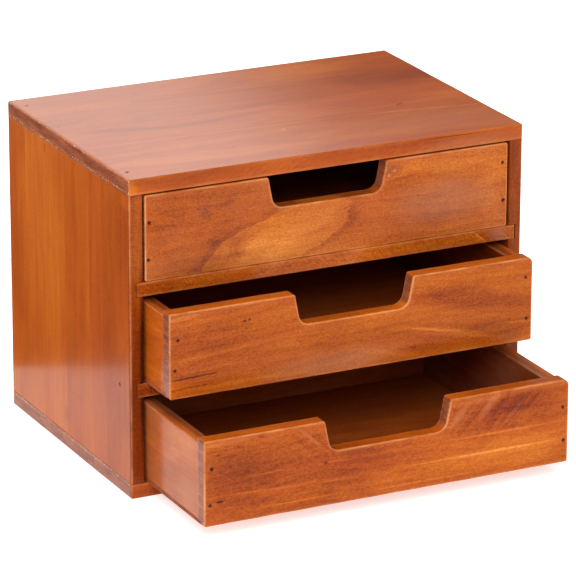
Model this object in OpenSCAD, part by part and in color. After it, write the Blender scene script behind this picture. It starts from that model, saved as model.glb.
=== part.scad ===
// Desktop chest of three mini drawers: a nailed wooden case with two housed shelves and
// a plywood back, and three loose-fitting drawers with finger cut-outs in their fronts.
// Origin: centre of the case's underside, +Z up, the drawer fronts face -Y. Millimetres.

/* [Case] */
// Width of the case over its side panels
case_w = 330; // [240:1:420]
// Depth of the case from its front edges to its back
case_d = 228; // [170:1:320]
// Thickness of the top and bottom boards
board_t = 12; // [9:0.5:18]
// Thickness of the two side panels
side_t = 11; // [9:0.5:16]
// Thickness of the two shelves
shelf_t = 11; // [8:0.5:15]
// Clear height of each drawer bay
bay_h = 68.3; // [50:0.1:110]
// Rounding of the case's four upright corners
corner_r = 2; // [1:0.1:4]
// Rounding of the long outer edges of the top and bottom boards
edge_r = 1.4; // [0.5:0.1:2.5]

/* [Shelf housings] */
// Depth of the groove in the side panel that holds a shelf's end
groove_d = 6; // [3:0.1:7]
// Gap between a shelf's end and the bottom of its groove
groove_end_gap = 0.8; // [0:0.1:0.9]
// Height of the groove over the shelf's thickness
groove_play = 0.3; // [0:0.1:0.8]
// Rounding of the shelves' front edges
shelf_r = 0.8; // [0.3:0.1:2]

/* [Back panel] */
// Thickness of the plywood back
back_t = 4; // [3:0.5:6]
// Width of the rebate round the case that the back lies in
rebate_w = 6; // [4:0.5:7]
// Gap round the back in its rebate
back_gap = 0.3; // [0.1:0.1:0.8]

/* [Drawers] */
// Thickness of a drawer's front board
front_t = 12; // [9:0.5:18]
// Thickness of a drawer's sides
wall_t = 11; // [7:0.5:14]
// Thickness of a drawer's back board
tail_t = 11; // [7:0.5:14]
// Thickness of a drawer's plywood bottom
ply_t = 3; // [2:0.5:5]
// How far the bottom is let into the back of the front board
ply_lap = 6; // [4:0.5:8]
// Gap between a front's end and the case's side panel
end_gap = 1.7; // [0.6:0.1:3]
// Gap over a closed front
top_gap = 1.3; // [0.5:0.1:4]
// Running gap between a drawer's bottom and what it slides on
glide_gap = 0.2; // [0.1:0.1:0.5]
// Gap between a closed drawer and the case's back panel
tail_gap = 2; // [1:0.5:10]
// How far the sides lie in from the ends of the front
wall_inset = 0.5; // [0:0.1:1.5]
// How far the sides and back end below the top of the front
wall_drop = 4; // [1:0.5:12]
// Rounding of a drawer's edges
ease_r = 1.2; // [0.4:0.1:1.5]

/* [Finger cut-outs] */
// Width across the mouth of the top drawer's cut-out
top_grip_w = 99; // [60:1:140]
// Width across the mouth of the middle drawer's cut-out
middle_grip_w = 99; // [60:1:140]
// Width across the mouth of the bottom drawer's cut-out
bottom_grip_w = 105; // [60:1:140]
// Depth of the cut-outs
grip_depth = 24.5; // [15:0.5:32]
// Lean of a cut-out's sides from upright, in degrees
grip_lean = 11; // [2:1:25]
// Radius in the bottom corners of a cut-out
grip_r = 9; // [4:0.5:12]
// Radius where a cut-out meets the front's top edge
lip_r = 2; // [1.5:0.1:4]
// Radius of the rubbed right-hand corners on the middle and bottom fronts
rubbed_r = 5; // [1.5:0.5:8]

/* [How far the drawers stand open] */
// Opening of the top drawer
top_open = 0; // [0:1:170]
// Opening of the middle drawer
middle_open = 42; // [0:1:170]
// Opening of the bottom drawer
bottom_open = 101; // [0:1:170]

/* [Brads] */
// Diameter of a brad's shank
brad_d = 1.4; // [1:0.1:1.8]
// Diameter of a brad's head
brad_head_d = 2.4; // [2:0.1:3]
// Thickness of a brad's head
brad_head_t = 0.6; // [0.4:0.1:0.9]
// Length of the brads that join the boards
brad_l = 25; // [18:1:32]
// Length of the brads that hold the plywood
ply_brad_l = 15; // [10:1:18]
// How deep the heads lie in the boards
brad_sink = 1; // [0.3:0.1:2]
// How deep the heads lie in the plywood
ply_brad_sink = 0.3; // [0.1:0.1:0.6]
// Gap round a brad in its hole
brad_gap = 0.03; // [0.01:0.01:0.05]
// Distance of the top and bottom boards' brads from the case's side
board_brad_in = 8; // [5:0.5:8]
// Distance of the case's first and last brads from its front and back edges
edge_brad_in = 20; // [18:1:40]
// Height of a front's lower brads over its bottom edge
low_brad_z = 18; // [12:1:24]
// Distance of a front's upper brads below its top edge
high_brad_drop = 20; // [14:1:24]

/* [Hidden] */
$fn = 48;

board_colour = "#b0622c";
side_colour = "#a9551f";
front_colour = "#b8662a";
wall_colour = "#a85523";
ply_colour = "#8f4a20";
brad_colour = "#3a2a22";
over = 1;
// How far an arc runs past the faces that it joins, so that they meet in a clean edge.
meet = 0.01;
bend_lap = 0.3;
bend_extra = 0.05;
left = -1;
right = 1;

case_h = 2 * board_t + 3 * bay_h + 2 * shelf_t;
inner_w = case_w - 2 * side_t;
inner_d = case_d - back_t;
front_y = -case_d / 2;
back_y = case_d / 2;
panel_h = case_h - 2 * board_t;
back_w = inner_w + 2 * (rebate_w - back_gap);
back_h = panel_h + 2 * (rebate_w - back_gap);
shelf_w = inner_w + 2 * (groove_d - groove_end_gap);
shelf_d = inner_d - back_gap;

front_w = inner_w - 2 * end_gap;
front_h = bay_h - glide_gap - top_gap;
box_w = front_w - 2 * wall_inset;
drawer_l = inner_d - tail_gap;
wall_h = front_h - ply_t - wall_drop;
wall_l = drawer_l - front_t - tail_t;
wall_x = box_w / 2 - wall_t / 2;

/* What differs from drawer to drawer, by bay. Bays are counted from the bottom. */

// How far a drawer stands open.
opening = [bottom_open, middle_open, top_open];
// Width of its cut-out.
grip_w = [bottom_grip_w, middle_grip_w, top_grip_w];
// How far the cut-out was sawn off the front's middle.
grip_shift = [-1.2, 0.2, -1.4];
// Radius of the front's upper right corner.
far_corner_r = [rubbed_r, rubbed_r, 0];
// How far its hand-driven front brads wander up or down from level: left low, left high,
// right low, right high.
brad_wander = [[-1.5, -2, 0, -2], [4.5, -1, 0, 4.5], [-1.5, -1.5, 3, 4.5]];
// How far they wander outward from the middle of the drawer's side, as shares of the room
// that a head has in it.
brad_drift = [[0.3, -0.05, 0.53, 0.28], [0.37, -0.26, 0.3, 0.05], [0.7, 0.51, 0.63, 0.37]];
brad_room = (wall_t - brad_head_d) / 2;

// Floor of a drawer bay.
function bay_z(bay) = board_t + bay * (bay_h + shelf_t);
function shelf_z(i) = bay_z(i + 1) - shelf_t;

// count places from a to b, both included.
function spread(a, b, count) = [for (i = [0:count - 1]) a + (b - a) * i / (count - 1)];

/* Places of the brads' heads: each lies on the face that the brad is driven into. */

board_brad_count = 4;
case_brad_ys = spread(front_y + edge_brad_in, back_y - edge_brad_in, board_brad_count);
top_places = [for (s = [left, right], y = case_brad_ys)
    [s * (case_w / 2 - board_brad_in), y, case_h - brad_sink]];
bottom_places = [for (s = [left, right], y = case_brad_ys)
    [s * (case_w / 2 - board_brad_in), y, brad_sink]];
shelf_brad_count = 3;
shelf_brad_ys = spread(front_y + edge_brad_in, back_y - edge_brad_in, shelf_brad_count);
function shelf_places(s) = [for (i = [0, 1], y = shelf_brad_ys)
    [s * (case_w / 2 - brad_sink), y, shelf_z(i) + shelf_t / 2]];
back_rim_x = inner_w / 2 + rebate_w / 2;
back_rim_z = [board_t - rebate_w / 2, case_h - board_t + rebate_w / 2];
back_head_y = back_y - ply_brad_sink;
// Share of the back's width that its rows of brads take up.
back_row_share = 0.8;
back_row_x = back_row_share * back_rim_x;
back_places = concat(
    [for (x = spread(-back_row_x, back_row_x, board_brad_count), z = back_rim_z)
        [x, back_head_y, z]],
    [for (s = [left, right], bay = [0:2]) [s * back_rim_x, back_head_y, bay_z(bay) + bay_h / 2]],
    [for (x = spread(-back_row_x, back_row_x, shelf_brad_count), i = [0, 1])
        [x, back_head_y, shelf_z(i) + shelf_t / 2]]);

// In a drawer's own place: its front face at y = 0 and its underside at z = 0.
function front_place(s, high, wander, drift) = [s * (wall_x + brad_room * drift), brad_sink,
    (high ? front_h - high_brad_drop : low_brad_z) + wander];
function front_places(bay) = [for (i = [0:3])
    front_place(i < 2 ? left : right, i % 2 == 1, brad_wander[bay][i], brad_drift[bay][i])];
// Heights of the tail brads, as shares of a side's height.
tail_brad_shares = [0.25, 0.75];
tail_places = [for (s = [left, right], share = tail_brad_shares)
    [s * wall_x, drawer_l - brad_sink, ply_t + wall_h * share]];
ply_brad_count = 3;
ply_brad_x = box_w / 4;
ply_places = concat(
    [for (s = [left, right], y = spread(front_t + brad_l, drawer_l - tail_t - brad_l, ply_brad_count))
        [s * wall_x, y, ply_brad_sink]],
    [for (s = [left, right]) [s * ply_brad_x, drawer_l - tail_t / 2, ply_brad_sink]],
    [for (s = [left, right]) [s * ply_brad_x, front_t - ply_lap / 2, ply_brad_sink]]);

/* Turns that point a brad's head up, down, forward, backward, left or right. */
HEAD_UP = [0, 0, 0];
HEAD_DOWN = [180, 0, 0];
HEAD_FORWARD = [90, 0, 0];
HEAD_BACKWARD = [-90, 0, 0];
function head_sideways(s) = [0, s * 90, 0];

// What rounding takes off a square corner at the origin.
module corner_waste(r) {
    difference() {
        translate([-over, -over]) square(r + over);
        translate([r, r]) circle(r + meet);
    }
}

// A brad that hangs from its head's top at the origin, with a pointed end.
module brad(l) {
    point_l = 2 * brad_d;
    translate([0, 0, -brad_head_t]) cylinder(d = brad_head_d, h = brad_head_t);
    translate([0, 0, point_l - l]) cylinder(d = brad_d, h = l - point_l - brad_head_t / 2);
    translate([0, 0, -l]) cylinder(d1 = 0, d2 = brad_d, h = point_l);
}

// The hole that a brad makes, open over its head.
module brad_hole(l) {
    translate([0, 0, -brad_head_t - brad_gap])
        cylinder(d = brad_head_d + 2 * brad_gap, h = brad_head_t + brad_gap + brad_sink + over);
    translate([0, 0, -l - brad_gap]) cylinder(d = brad_d + 2 * brad_gap, h = l);
}

module brads(places, turn, l) {
    color(brad_colour)
        for (place = places) translate(place) rotate(turn) brad(l);
}

module brad_holes(places, turn, l) {
    for (place = places) translate(place) rotate(turn) brad_hole(l);
}

/* A flat board laid face up, from an outline of corners [x, y, radius], anticlockwise.
   A corner that turns left sticks out and one that turns right goes in. */

function corner_at(outline, i) = outline[(i + len(outline)) % len(outline)];
function flat(corner) = [corner[0], corner[1]];
function heading(from, to) = atan2(to[1] - from[1], to[0] - from[0]);
function way(angle) = [cos(angle), sin(angle)];
function turn_at(outline, i) =
    (heading(corner_at(outline, i), corner_at(outline, i + 1))
        - heading(corner_at(outline, i - 1), corner_at(outline, i)) + 540) % 360 - 180;
// Distance from a corner to where its arc starts.
function tangent_l(outline, i) = corner_at(outline, i)[2] * tan(abs(turn_at(outline, i)) / 2);
function arc_start(outline, i) = flat(corner_at(outline, i))
    - tangent_l(outline, i) * way(heading(corner_at(outline, i - 1), corner_at(outline, i)));
function arc_end(outline, i) = flat(corner_at(outline, i))
    + tangent_l(outline, i) * way(heading(corner_at(outline, i), corner_at(outline, i + 1)));
function arc_centre(outline, i) = arc_start(outline, i)
    + corner_at(outline, i)[2] * sign(turn_at(outline, i))
    * way(heading(corner_at(outline, i - 1), corner_at(outline, i)) + 90);

// The disc whose edge is a corner's arc.
module corner_disc(outline, i) {
    translate(arc_centre(outline, i)) circle(corner_at(outline, i)[2] + meet);
}

// The outside of a corner that sticks out, as far in as its arc's centre.
module corner_point(outline, i) {
    centre = arc_centre(outline, i);
    polygon([centre, arc_start(outline, i), 2 * flat(corner_at(outline, i)) - centre,
        arc_end(outline, i)]);
}

// A corner that goes in is first cut across from one end of its arc to the other.
module outline_area(outline) {
    difference() {
        polygon([for (i = [0:len(outline) - 1])
            each turn_at(outline, i) > 0 ? [flat(outline[i])]
                : [arc_start(outline, i), arc_end(outline, i)]]);
        for (i = [0:len(outline) - 1]) if (outline[i][2] > 0)
            if (turn_at(outline, i) > 0) difference() {
                corner_point(outline, i);
                corner_disc(outline, i);
            }
            else corner_disc(outline, i);
    }
}

// What easing by r takes off the upper edge of a board t thick, along one straight run,
// carried a little way into the corners' arcs.
module run_waste(outline, i, t, r) {
    a = arc_end(outline, i);
    b = arc_start(outline, i + 1);
    translate([a[0], a[1], t]) rotate([0, 0, heading(a, b)])
        translate([-bend_lap, 0, 0]) rotate([90, 0, 90])
        linear_extrude(norm(b - a) + 2 * bend_lap) mirror([0, 1]) corner_waste(r);
}

// The same round one corner's arc, a hair deeper so that it swallows the runs' ends.
module bend_waste(outline, i, t, r) {
    bend_r = corner_at(outline, i)[2];
    turn = turn_at(outline, i);
    centre = arc_centre(outline, i);
    start = heading(centre, arc_start(outline, i));
    depth = r + bend_extra;
    translate([centre[0], centre[1], t]) rotate([0, 0, turn > 0 ? start : start + turn])
        rotate_extrude(angle = abs(turn)) intersection() {
            translate([bend_r, 0]) rotate(turn > 0 ? 180 : 0) mirror([0, turn > 0 ? 0 : 1])
                corner_waste(depth);
            translate([0, -depth - over]) square([bend_r + depth + over, depth + 2 * over]);
        }
}

module laid_board(outline, t, r) {
    difference() {
        linear_extrude(t) outline_area(outline);
        for (i = [0:len(outline) - 1]) {
            run_waste(outline, i, t, r);
            if (outline[i][2] > 0) bend_waste(outline, i, t, r);
        }
    }
}

/* Case */

// The four corners of a rectangle centred on x = 0, from y = 0 to d, all of one radius.
function rectangle(w, d, r) = [[-w / 2, 0, r], [w / 2, 0, r], [w / 2, d, r], [-w / 2, d, r]];

// The top or bottom board, outer face up, with its stopped rebate for the back panel.
module case_board() {
    difference() {
        translate([0, front_y, 0]) laid_board(rectangle(case_w, case_d, corner_r), board_t, edge_r);
        translate([-inner_w / 2 - rebate_w, back_y - back_t, -over])
            cube([inner_w + 2 * rebate_w, back_t + over, rebate_w + over]);
    }
}

module top_board() {
    color(board_colour) difference() {
        translate([0, 0, case_h - board_t]) case_board();
        brad_holes(top_places, HEAD_UP, brad_l);
        brad_holes(back_places, HEAD_BACKWARD, ply_brad_l);
    }
}

module bottom_board() {
    color(board_colour) difference() {
        translate([0, 0, board_t]) mirror([0, 0, 1]) case_board();
        brad_holes(bottom_places, HEAD_DOWN, brad_l);
        brad_holes(back_places, HEAD_BACKWARD, ply_brad_l);
    }
}

// The right-hand panel's plan: its outer corners rounded as the boards over and under it,
// its inner front edge only half as much as a drawer's.
inner_edge_r = ease_r / 2;
side_plan = [[inner_w / 2, front_y, inner_edge_r], [case_w / 2, front_y, corner_r],
    [case_w / 2, back_y, corner_r], [inner_w / 2, back_y, 0]];

module side_panel(s) {
    difference() {
        mirror([s == left ? 1 : 0, 0, 0]) difference() {
            translate([0, 0, board_t]) linear_extrude(panel_h) outline_area(side_plan);
            for (i = [0, 1])
                translate([inner_w / 2 - over, front_y - over, shelf_z(i)])
                    cube([groove_d + over, case_d + 2 * over, shelf_t + groove_play]);
            translate([inner_w / 2 - over, back_y - back_t, 0])
                cube([rebate_w + over, back_t + over, case_h]);
        }
        brad_holes(top_places, HEAD_UP, brad_l);
        brad_holes(bottom_places, HEAD_DOWN, brad_l);
        brad_holes(shelf_places(s), head_sideways(s), brad_l);
        brad_holes(back_places, HEAD_BACKWARD, ply_brad_l);
    }
}

module left_side() {
    color(side_colour) side_panel(left);
}

module right_side() {
    color(side_colour) side_panel(right);
}

module shelf(i) {
    end_section = [[0, 0, shelf_r], [shelf_d, 0, 0], [shelf_d, shelf_t, 0], [0, shelf_t, shelf_r]];
    color(board_colour) difference() {
        translate([-shelf_w / 2, front_y, shelf_z(i)])
            rotate([90, 0, 90]) linear_extrude(shelf_w) outline_area(end_section);
        for (s = [left, right]) brad_holes(shelf_places(s), head_sideways(s), brad_l);
        brad_holes(back_places, HEAD_BACKWARD, ply_brad_l);
    }
}

module back_panel() {
    color(ply_colour) difference() {
        translate([-back_w / 2, back_y - back_t, (case_h - back_h) / 2])
            cube([back_w, back_t, back_h]);
        brad_holes(back_places, HEAD_BACKWARD, ply_brad_l);
    }
}

module top_brads() {
    brads(top_places, HEAD_UP, brad_l);
}

module bottom_brads() {
    brads(bottom_places, HEAD_DOWN, brad_l);
}

module shelf_brads(s) {
    brads(shelf_places(s), head_sideways(s), brad_l);
}

module back_panel_brads() {
    brads(back_places, HEAD_BACKWARD, ply_brad_l);
}

/* Drawers */

// Sets a drawer's pieces in its bay, as far open as it stands.
module in_bay(bay) {
    translate([0, front_y - opening[bay], bay_z(bay) + glide_gap]) children();
}

// A drawer front's outline: a rectangle whose top edge dips into the finger cut-out.
function front_outline(bay) =
    let (
        half = front_w / 2,
        mouth = grip_w[bay] / 2,
        floor = mouth - grip_depth * tan(grip_lean),
        dip = front_h - grip_depth,
        middle = grip_shift[bay]
    ) [
        [-half, 0, 0], [half, 0, 0], [half, front_h, far_corner_r[bay]],
        [middle + mouth, front_h, lip_r], [middle + floor, dip, grip_r],
        [middle - floor, dip, grip_r], [middle - mouth, front_h, lip_r],
        [-half, front_h, 0]
    ];

module drawer_front(bay) {
    color(front_colour) in_bay(bay) difference() {
        translate([0, front_t, 0]) rotate([90, 0, 0])
            laid_board(front_outline(bay), front_t, ease_r);
        translate([-front_w / 2 - over, front_t - ply_lap, -over])
            cube([front_w + 2 * over, ply_lap + over, ply_t + over]);
        brad_holes(front_places(bay), HEAD_FORWARD, brad_l);
        brad_holes(ply_places, HEAD_DOWN, ply_brad_l);
    }
}

// A drawer's side or back in section: rounded along its top edges.
function wall_section(t) = [[0, 0, 0], [t, 0, 0], [t, wall_h, ease_r], [0, wall_h, ease_r]];

module drawer_wall(bay, s) {
    color(wall_colour) in_bay(bay) difference() {
        translate([s * wall_x - wall_t / 2, front_t + wall_l, ply_t])
            rotate([90, 0, 0]) linear_extrude(wall_l) outline_area(wall_section(wall_t));
        brad_holes(front_places(bay), HEAD_FORWARD, brad_l);
        brad_holes(tail_places, HEAD_BACKWARD, brad_l);
        brad_holes(ply_places, HEAD_DOWN, ply_brad_l);
    }
}

module drawer_back(bay) {
    color(wall_colour) in_bay(bay) difference() {
        translate([-box_w / 2, drawer_l - tail_t, ply_t])
            rotate([90, 0, 90]) linear_extrude(box_w) outline_area(wall_section(tail_t));
        brad_holes(tail_places, HEAD_BACKWARD, brad_l);
        brad_holes(ply_places, HEAD_DOWN, ply_brad_l);
    }
}

module drawer_bottom(bay) {
    color(ply_colour) in_bay(bay) difference() {
        translate([-box_w / 2, front_t - ply_lap, 0])
            cube([box_w, drawer_l - front_t + ply_lap, ply_t]);
        brad_holes(ply_places, HEAD_DOWN, ply_brad_l);
    }
}

module drawer_front_brads(bay) {
    in_bay(bay) brads(front_places(bay), HEAD_FORWARD, brad_l);
}

module drawer_back_brads(bay) {
    in_bay(bay) brads(tail_places, HEAD_BACKWARD, brad_l);
}

module drawer_bottom_brads(bay) {
    in_bay(bay) brads(ply_places, HEAD_DOWN, ply_brad_l);
}

top_board();
bottom_board();
left_side();
right_side();
shelf(1);  // upper_shelf
shelf(0);  // lower_shelf
back_panel();
top_brads();
bottom_brads();
shelf_brads(left);  // left_shelf_brads
shelf_brads(right);  // right_shelf_brads
back_panel_brads();

drawer_front(2);  // top_drawer_front
drawer_wall(2, left);  // top_drawer_left
drawer_wall(2, right);  // top_drawer_right
drawer_back(2);  // top_drawer_back
drawer_bottom(2);  // top_drawer_bottom
drawer_front_brads(2);  // top_drawer_front_brads
drawer_back_brads(2);  // top_drawer_back_brads
drawer_bottom_brads(2);  // top_drawer_bottom_brads

drawer_front(1);  // middle_drawer_front
drawer_wall(1, left);  // middle_drawer_left
drawer_wall(1, right);  // middle_drawer_right
drawer_back(1);  // middle_drawer_back
drawer_bottom(1);  // middle_drawer_bottom
drawer_front_brads(1);  // middle_drawer_front_brads
drawer_back_brads(1);  // middle_drawer_back_brads
drawer_bottom_brads(1);  // middle_drawer_bottom_brads

drawer_front(0);  // bottom_drawer_front
drawer_wall(0, left);  // bottom_drawer_left
drawer_wall(0, right);  // bottom_drawer_right
drawer_back(0);  // bottom_drawer_back
drawer_bottom(0);  // bottom_drawer_bottom
drawer_front_brads(0);  // bottom_drawer_front_brads
drawer_back_brads(0);  // bottom_drawer_back_brads
drawer_bottom_brads(0);  // bottom_drawer_bottom_brads
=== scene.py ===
# %% [markdown]
# # A desktop chest of three mini drawers
# The chest is a nailed case of stained softwood with two housed shelves, and three loose drawers
# with sawn finger cut-outs in their fronts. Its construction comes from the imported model, the
# frame. This lesson makes the boards that show again as surfaces worked out with numpy, so that
# their arrises, brad holes and faces look worked by hand, and gives everything a procedural finish.
# The hidden pieces, the plywood and the brads stay as the frame has them.

# %% Load the frame
import math

import bmesh
import bpy
import numpy as np
from mathutils import Matrix, Vector


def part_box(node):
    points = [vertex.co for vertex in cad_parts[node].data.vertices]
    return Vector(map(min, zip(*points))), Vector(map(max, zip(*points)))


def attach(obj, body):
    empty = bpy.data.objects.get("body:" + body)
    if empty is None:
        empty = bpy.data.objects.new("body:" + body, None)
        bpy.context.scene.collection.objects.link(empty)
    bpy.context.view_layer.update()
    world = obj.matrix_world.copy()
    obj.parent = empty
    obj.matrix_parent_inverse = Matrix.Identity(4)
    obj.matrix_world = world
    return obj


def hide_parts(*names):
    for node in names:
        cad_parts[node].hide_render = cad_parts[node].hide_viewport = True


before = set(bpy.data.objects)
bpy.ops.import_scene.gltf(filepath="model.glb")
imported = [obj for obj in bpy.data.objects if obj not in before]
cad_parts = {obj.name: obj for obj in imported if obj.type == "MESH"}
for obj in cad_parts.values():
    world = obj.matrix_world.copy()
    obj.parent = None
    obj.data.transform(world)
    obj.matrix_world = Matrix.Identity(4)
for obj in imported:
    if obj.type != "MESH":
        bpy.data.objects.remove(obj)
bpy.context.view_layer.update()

# %% [markdown]
# ## The camera
# The picture was taken with a long lens from the front left and a little above. A fit of the case's
# and the drawers' corners to it gave the camera's place, its turn and its focal length. They are
# real distances, so the render lines up without any shift or cropping.

# %% Camera
MM = 0.001
CAMERA_PLACE = (-1.4079, -2.8844, 1.2190)
TURN_RIGHT = math.radians(26.366)
LOOK_DOWN = math.radians(19.097)
ROLL = math.radians(0.157)
LENS_MM = 272.3
FAR_CLIP = 30

camera = bpy.data.objects.new("camera", bpy.data.cameras.new("camera"))
bpy.context.scene.collection.objects.link(camera)
camera.data.lens = LENS_MM
camera.data.clip_end = FAR_CLIP
heading = Matrix.Rotation(-TURN_RIGHT, 4, "Z") @ Matrix.Rotation(math.pi / 2 - LOOK_DOWN, 4, "X")
camera.matrix_world = Matrix.Translation(CAMERA_PLACE) @ heading @ Matrix.Rotation(ROLL, 4, "Z")
bpy.context.scene.camera = camera
print("camera", [round(v, 3) for v in camera.matrix_world.translation])

# %% [markdown]
# ## Wiring shader nodes
# Every finish here is a tree of shader nodes. Writing each node and link by hand is long, so a
# small class adds them: its methods take numbers, colours or the outputs of other nodes, and give
# back the new node's output. A colour is given as on a paint chart, 0 to 255.


# %% Wiring
class Wiring:
    """Adds nodes to a tree. An input takes a number, a colour or another node's output."""

    def __init__(self, tree):
        self.tree = tree

    def add(self, kind, inputs=None, **settings):
        node = self.tree.nodes.new(kind)
        for name, value in settings.items():
            setattr(node, name, value)
        for name, value in (inputs or {}).items():
            if isinstance(value, bpy.types.NodeSocket):
                self.tree.links.new(value, node.inputs[name])
            else:
                node.inputs[name].default_value = value
        return node

    def finish(self, shader, output="ShaderNodeOutputMaterial"):
        """Sends a shader to the tree's output."""
        self.add(output, {"Surface": shader.outputs[0]})

    def here(self):
        """The point in the piece's own coordinates, in metres."""
        return self.add("ShaderNodeTexCoord").outputs["Object"]

    def map(self, kind, vector, **changes):
        return self.add("ShaderNodeMapping", {"Vector": vector, **changes}, vector_type=kind).outputs[0]

    def bump(self, height, strength, distance):
        inputs = {"Height": height, "Strength": strength, "Distance": distance}
        return self.add("ShaderNodeBump", inputs).outputs["Normal"]

    def math(self, operation, first, second=0.0):
        return self.add("ShaderNodeMath", {0: first, 1: second}, operation=operation).outputs[0]

    def times(self, first, second):
        return self.math("MULTIPLY", first, second)

    def vector(self, operation, first, second=(0, 0, 0)):
        return self.add("ShaderNodeVectorMath", {0: first, 1: second}, operation=operation).outputs[0]

    def length(self, vector):
        return self.add("ShaderNodeVectorMath", {0: vector}, operation="LENGTH").outputs["Value"]

    def axes(self, vector):
        return self.add("ShaderNodeSeparateXYZ", {"Vector": vector}).outputs

    def noise(self, place, scale=1.0, detail=2.0, roughness=0.5, distortion=0.0):
        return self.add("ShaderNodeTexNoise", {
            "Vector": place, "Scale": scale, "Detail": detail, "Roughness": roughness,
            "Distortion": distortion}).outputs["Fac"]

    def fit(self, value, low, high, to_low=0.0, to_high=1.0, smooth=False):
        return self.add("ShaderNodeMapRange", {
            "Value": value, "From Min": low, "From Max": high, "To Min": to_low, "To Max": to_high},
            interpolation_type="SMOOTHSTEP" if smooth else "LINEAR").outputs["Result"]

    def swing(self, value, amount):
        """A noise of 0 to 1 as a change of -amount to +amount."""
        return self.times(self.math("SUBTRACT", value, 0.5), 2 * amount)

    def total(self, *values):
        result = values[0]
        for value in values[1:]:
            result = self.math("ADD", result, value)
        return result

    def mix(self, factor, first, second):
        return self.add("ShaderNodeMix", {"Factor": factor, "A": first, "B": second},
                        data_type="RGBA").outputs["Result"]

    def ramp(self, value, stops, interpolation="LINEAR"):
        node = self.add("ShaderNodeValToRGB", {"Fac": value})
        node.color_ramp.interpolation = interpolation
        elements = node.color_ramp.elements
        while len(elements) > len(stops):
            elements.remove(elements[-1])
        while len(elements) < len(stops):
            elements.new(1.0)
        for element, (place, colour) in zip(elements, stops):
            element.position = place
            element.color = colour
        return node.outputs["Color"]


def new_material(name):
    """An empty node material and its wiring."""
    material = bpy.data.materials.new(name)
    material.use_nodes = True
    material.node_tree.nodes.clear()
    return material, Wiring(material.node_tree)


def srgb(red, green, blue):
    """A paint chart's colour made linear: ((v + 0.055) / 1.055) to the power 2.4, or v / 12.92 near black."""
    shares = [v / 255 for v in (red, green, blue)]
    return (*[((v + 0.055) / 1.055) ** 2.4 if v > 0.04 else v / 12.92 for v in shares], 1.0)


def grey(value):
    return (value, value, value, 1.0)


print("the stain's orange is", [round(v, 3) for v in srgb(166, 80, 16)])

# %% [markdown]
# ## The floor
# A product picture is taken on a pale sheet that runs to a clean white. It could be one big plane.
# A grid does the same and shows how every surface below is made: points from two parameters, and
# faces between neighbouring rows and columns. The sheet glows a little, so that it stays white
# where the lights fall off.


# %% Floor
def grid_faces(rows, columns, first=0):
    """The quads of a grid of rows x columns points that are numbered row by row from first."""
    row, column = np.meshgrid(np.arange(rows - 1), np.arange(columns - 1), indexing="ij")
    corner = (first + row * columns + column).ravel()
    return np.stack([corner, corner + 1, corner + columns + 1, corner + columns], axis=1)


def stage_sheet(name, points, material):
    """A sheet of the studio from a grid of points in metres. It isn't part of the chest."""
    mesh = bpy.data.meshes.new(name)
    mesh.from_pydata(points.reshape(-1, 3).tolist(), [], grid_faces(*points.shape[:2]).tolist())
    mesh.materials.append(material)
    sheet = bpy.data.objects.new(name, mesh)
    bpy.context.scene.collection.objects.link(sheet)
    return sheet


def pale_paper():
    """Matt white paper: its tooth shows as a very fine bump and a slight change of white."""
    material, w = new_material("pale_paper")
    tooth = w.noise(w.here(), scale=900, detail=3)
    w.finish(w.add("ShaderNodeBsdfPrincipled", {
        "Base Color": w.mix(tooth, grey(0.88), grey(0.93)), "Roughness": 0.9, "Specular IOR Level": 0.1,
        "Normal": w.bump(tooth, 0.05, 0.0005), "Emission Color": grey(1.0), "Emission Strength": FLOOR_GLOW}))
    return material


FLOOR_HALF = 8.0
FLOOR_LINES = 9
FLOOR_GLOW = 0.60
floor_lines = np.linspace(-FLOOR_HALF, FLOOR_HALF, FLOOR_LINES)
across, back = np.meshgrid(floor_lines, floor_lines)
floor = stage_sheet("floor", np.stack([across, back, np.zeros_like(across)], axis=-1), pale_paper())
print("floor", len(floor.data.polygons), "faces")

# %% [markdown]
# ## Sky and lights
# A large soft key light stands at the front left, a low one lights the left side, and a third one
# hangs over the back of the chest, so that the case shades what lies just under its front. The sky
# is bright towards the front left and dim behind, because a varnished board shows its own colour
# only where it mirrors something darker than a white wall. Plain area lights and a two-tone world
# are enough for that, and they keep the lighting free of any picture.

# %% Sky and lights
SKY_BRIGHT = 0.62
SKY_DIM = 0.2
SKY_SPREAD = 0.8
SKY_COLOUR = (1.0, 0.99, 0.97, 1)
BRIGHT_WAY = (-0.55, -0.65, 0.5)
CHEST_MIDDLE = (0, 0, 0.12)
KEY_PLACE, KEY_SIDE, KEY_WATTS = (-1.3, -2.6, 2.1), 1.4, 61
STRIP_PLACE, STRIP_SIDE, STRIP_WATTS = (-3.0, -0.4, 0.9), 1.4, 9
OVERHEAD_PLACE, OVERHEAD_SIDE, OVERHEAD_WATTS = (-0.2, 0.35, 2.4), 1.3, 26


def studio_sky():
    """A sky whose strength follows the dot product of the way looked and BRIGHT_WAY."""
    world = bpy.data.worlds.new("studio")
    bpy.context.scene.world = world
    world.use_nodes = True
    world.node_tree.nodes.clear()
    w = Wiring(world.node_tree)
    way = w.add("ShaderNodeTexCoord").outputs["Generated"]
    towards = w.add("ShaderNodeVectorMath", {0: way, 1: BRIGHT_WAY}, operation="DOT_PRODUCT").outputs["Value"]
    strength = w.fit(towards, -SKY_SPREAD, SKY_SPREAD, SKY_DIM, SKY_BRIGHT, smooth=True)
    sky = w.add("ShaderNodeBackground", {"Color": SKY_COLOUR, "Strength": strength})
    w.finish(sky, "ShaderNodeOutputWorld")


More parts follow.
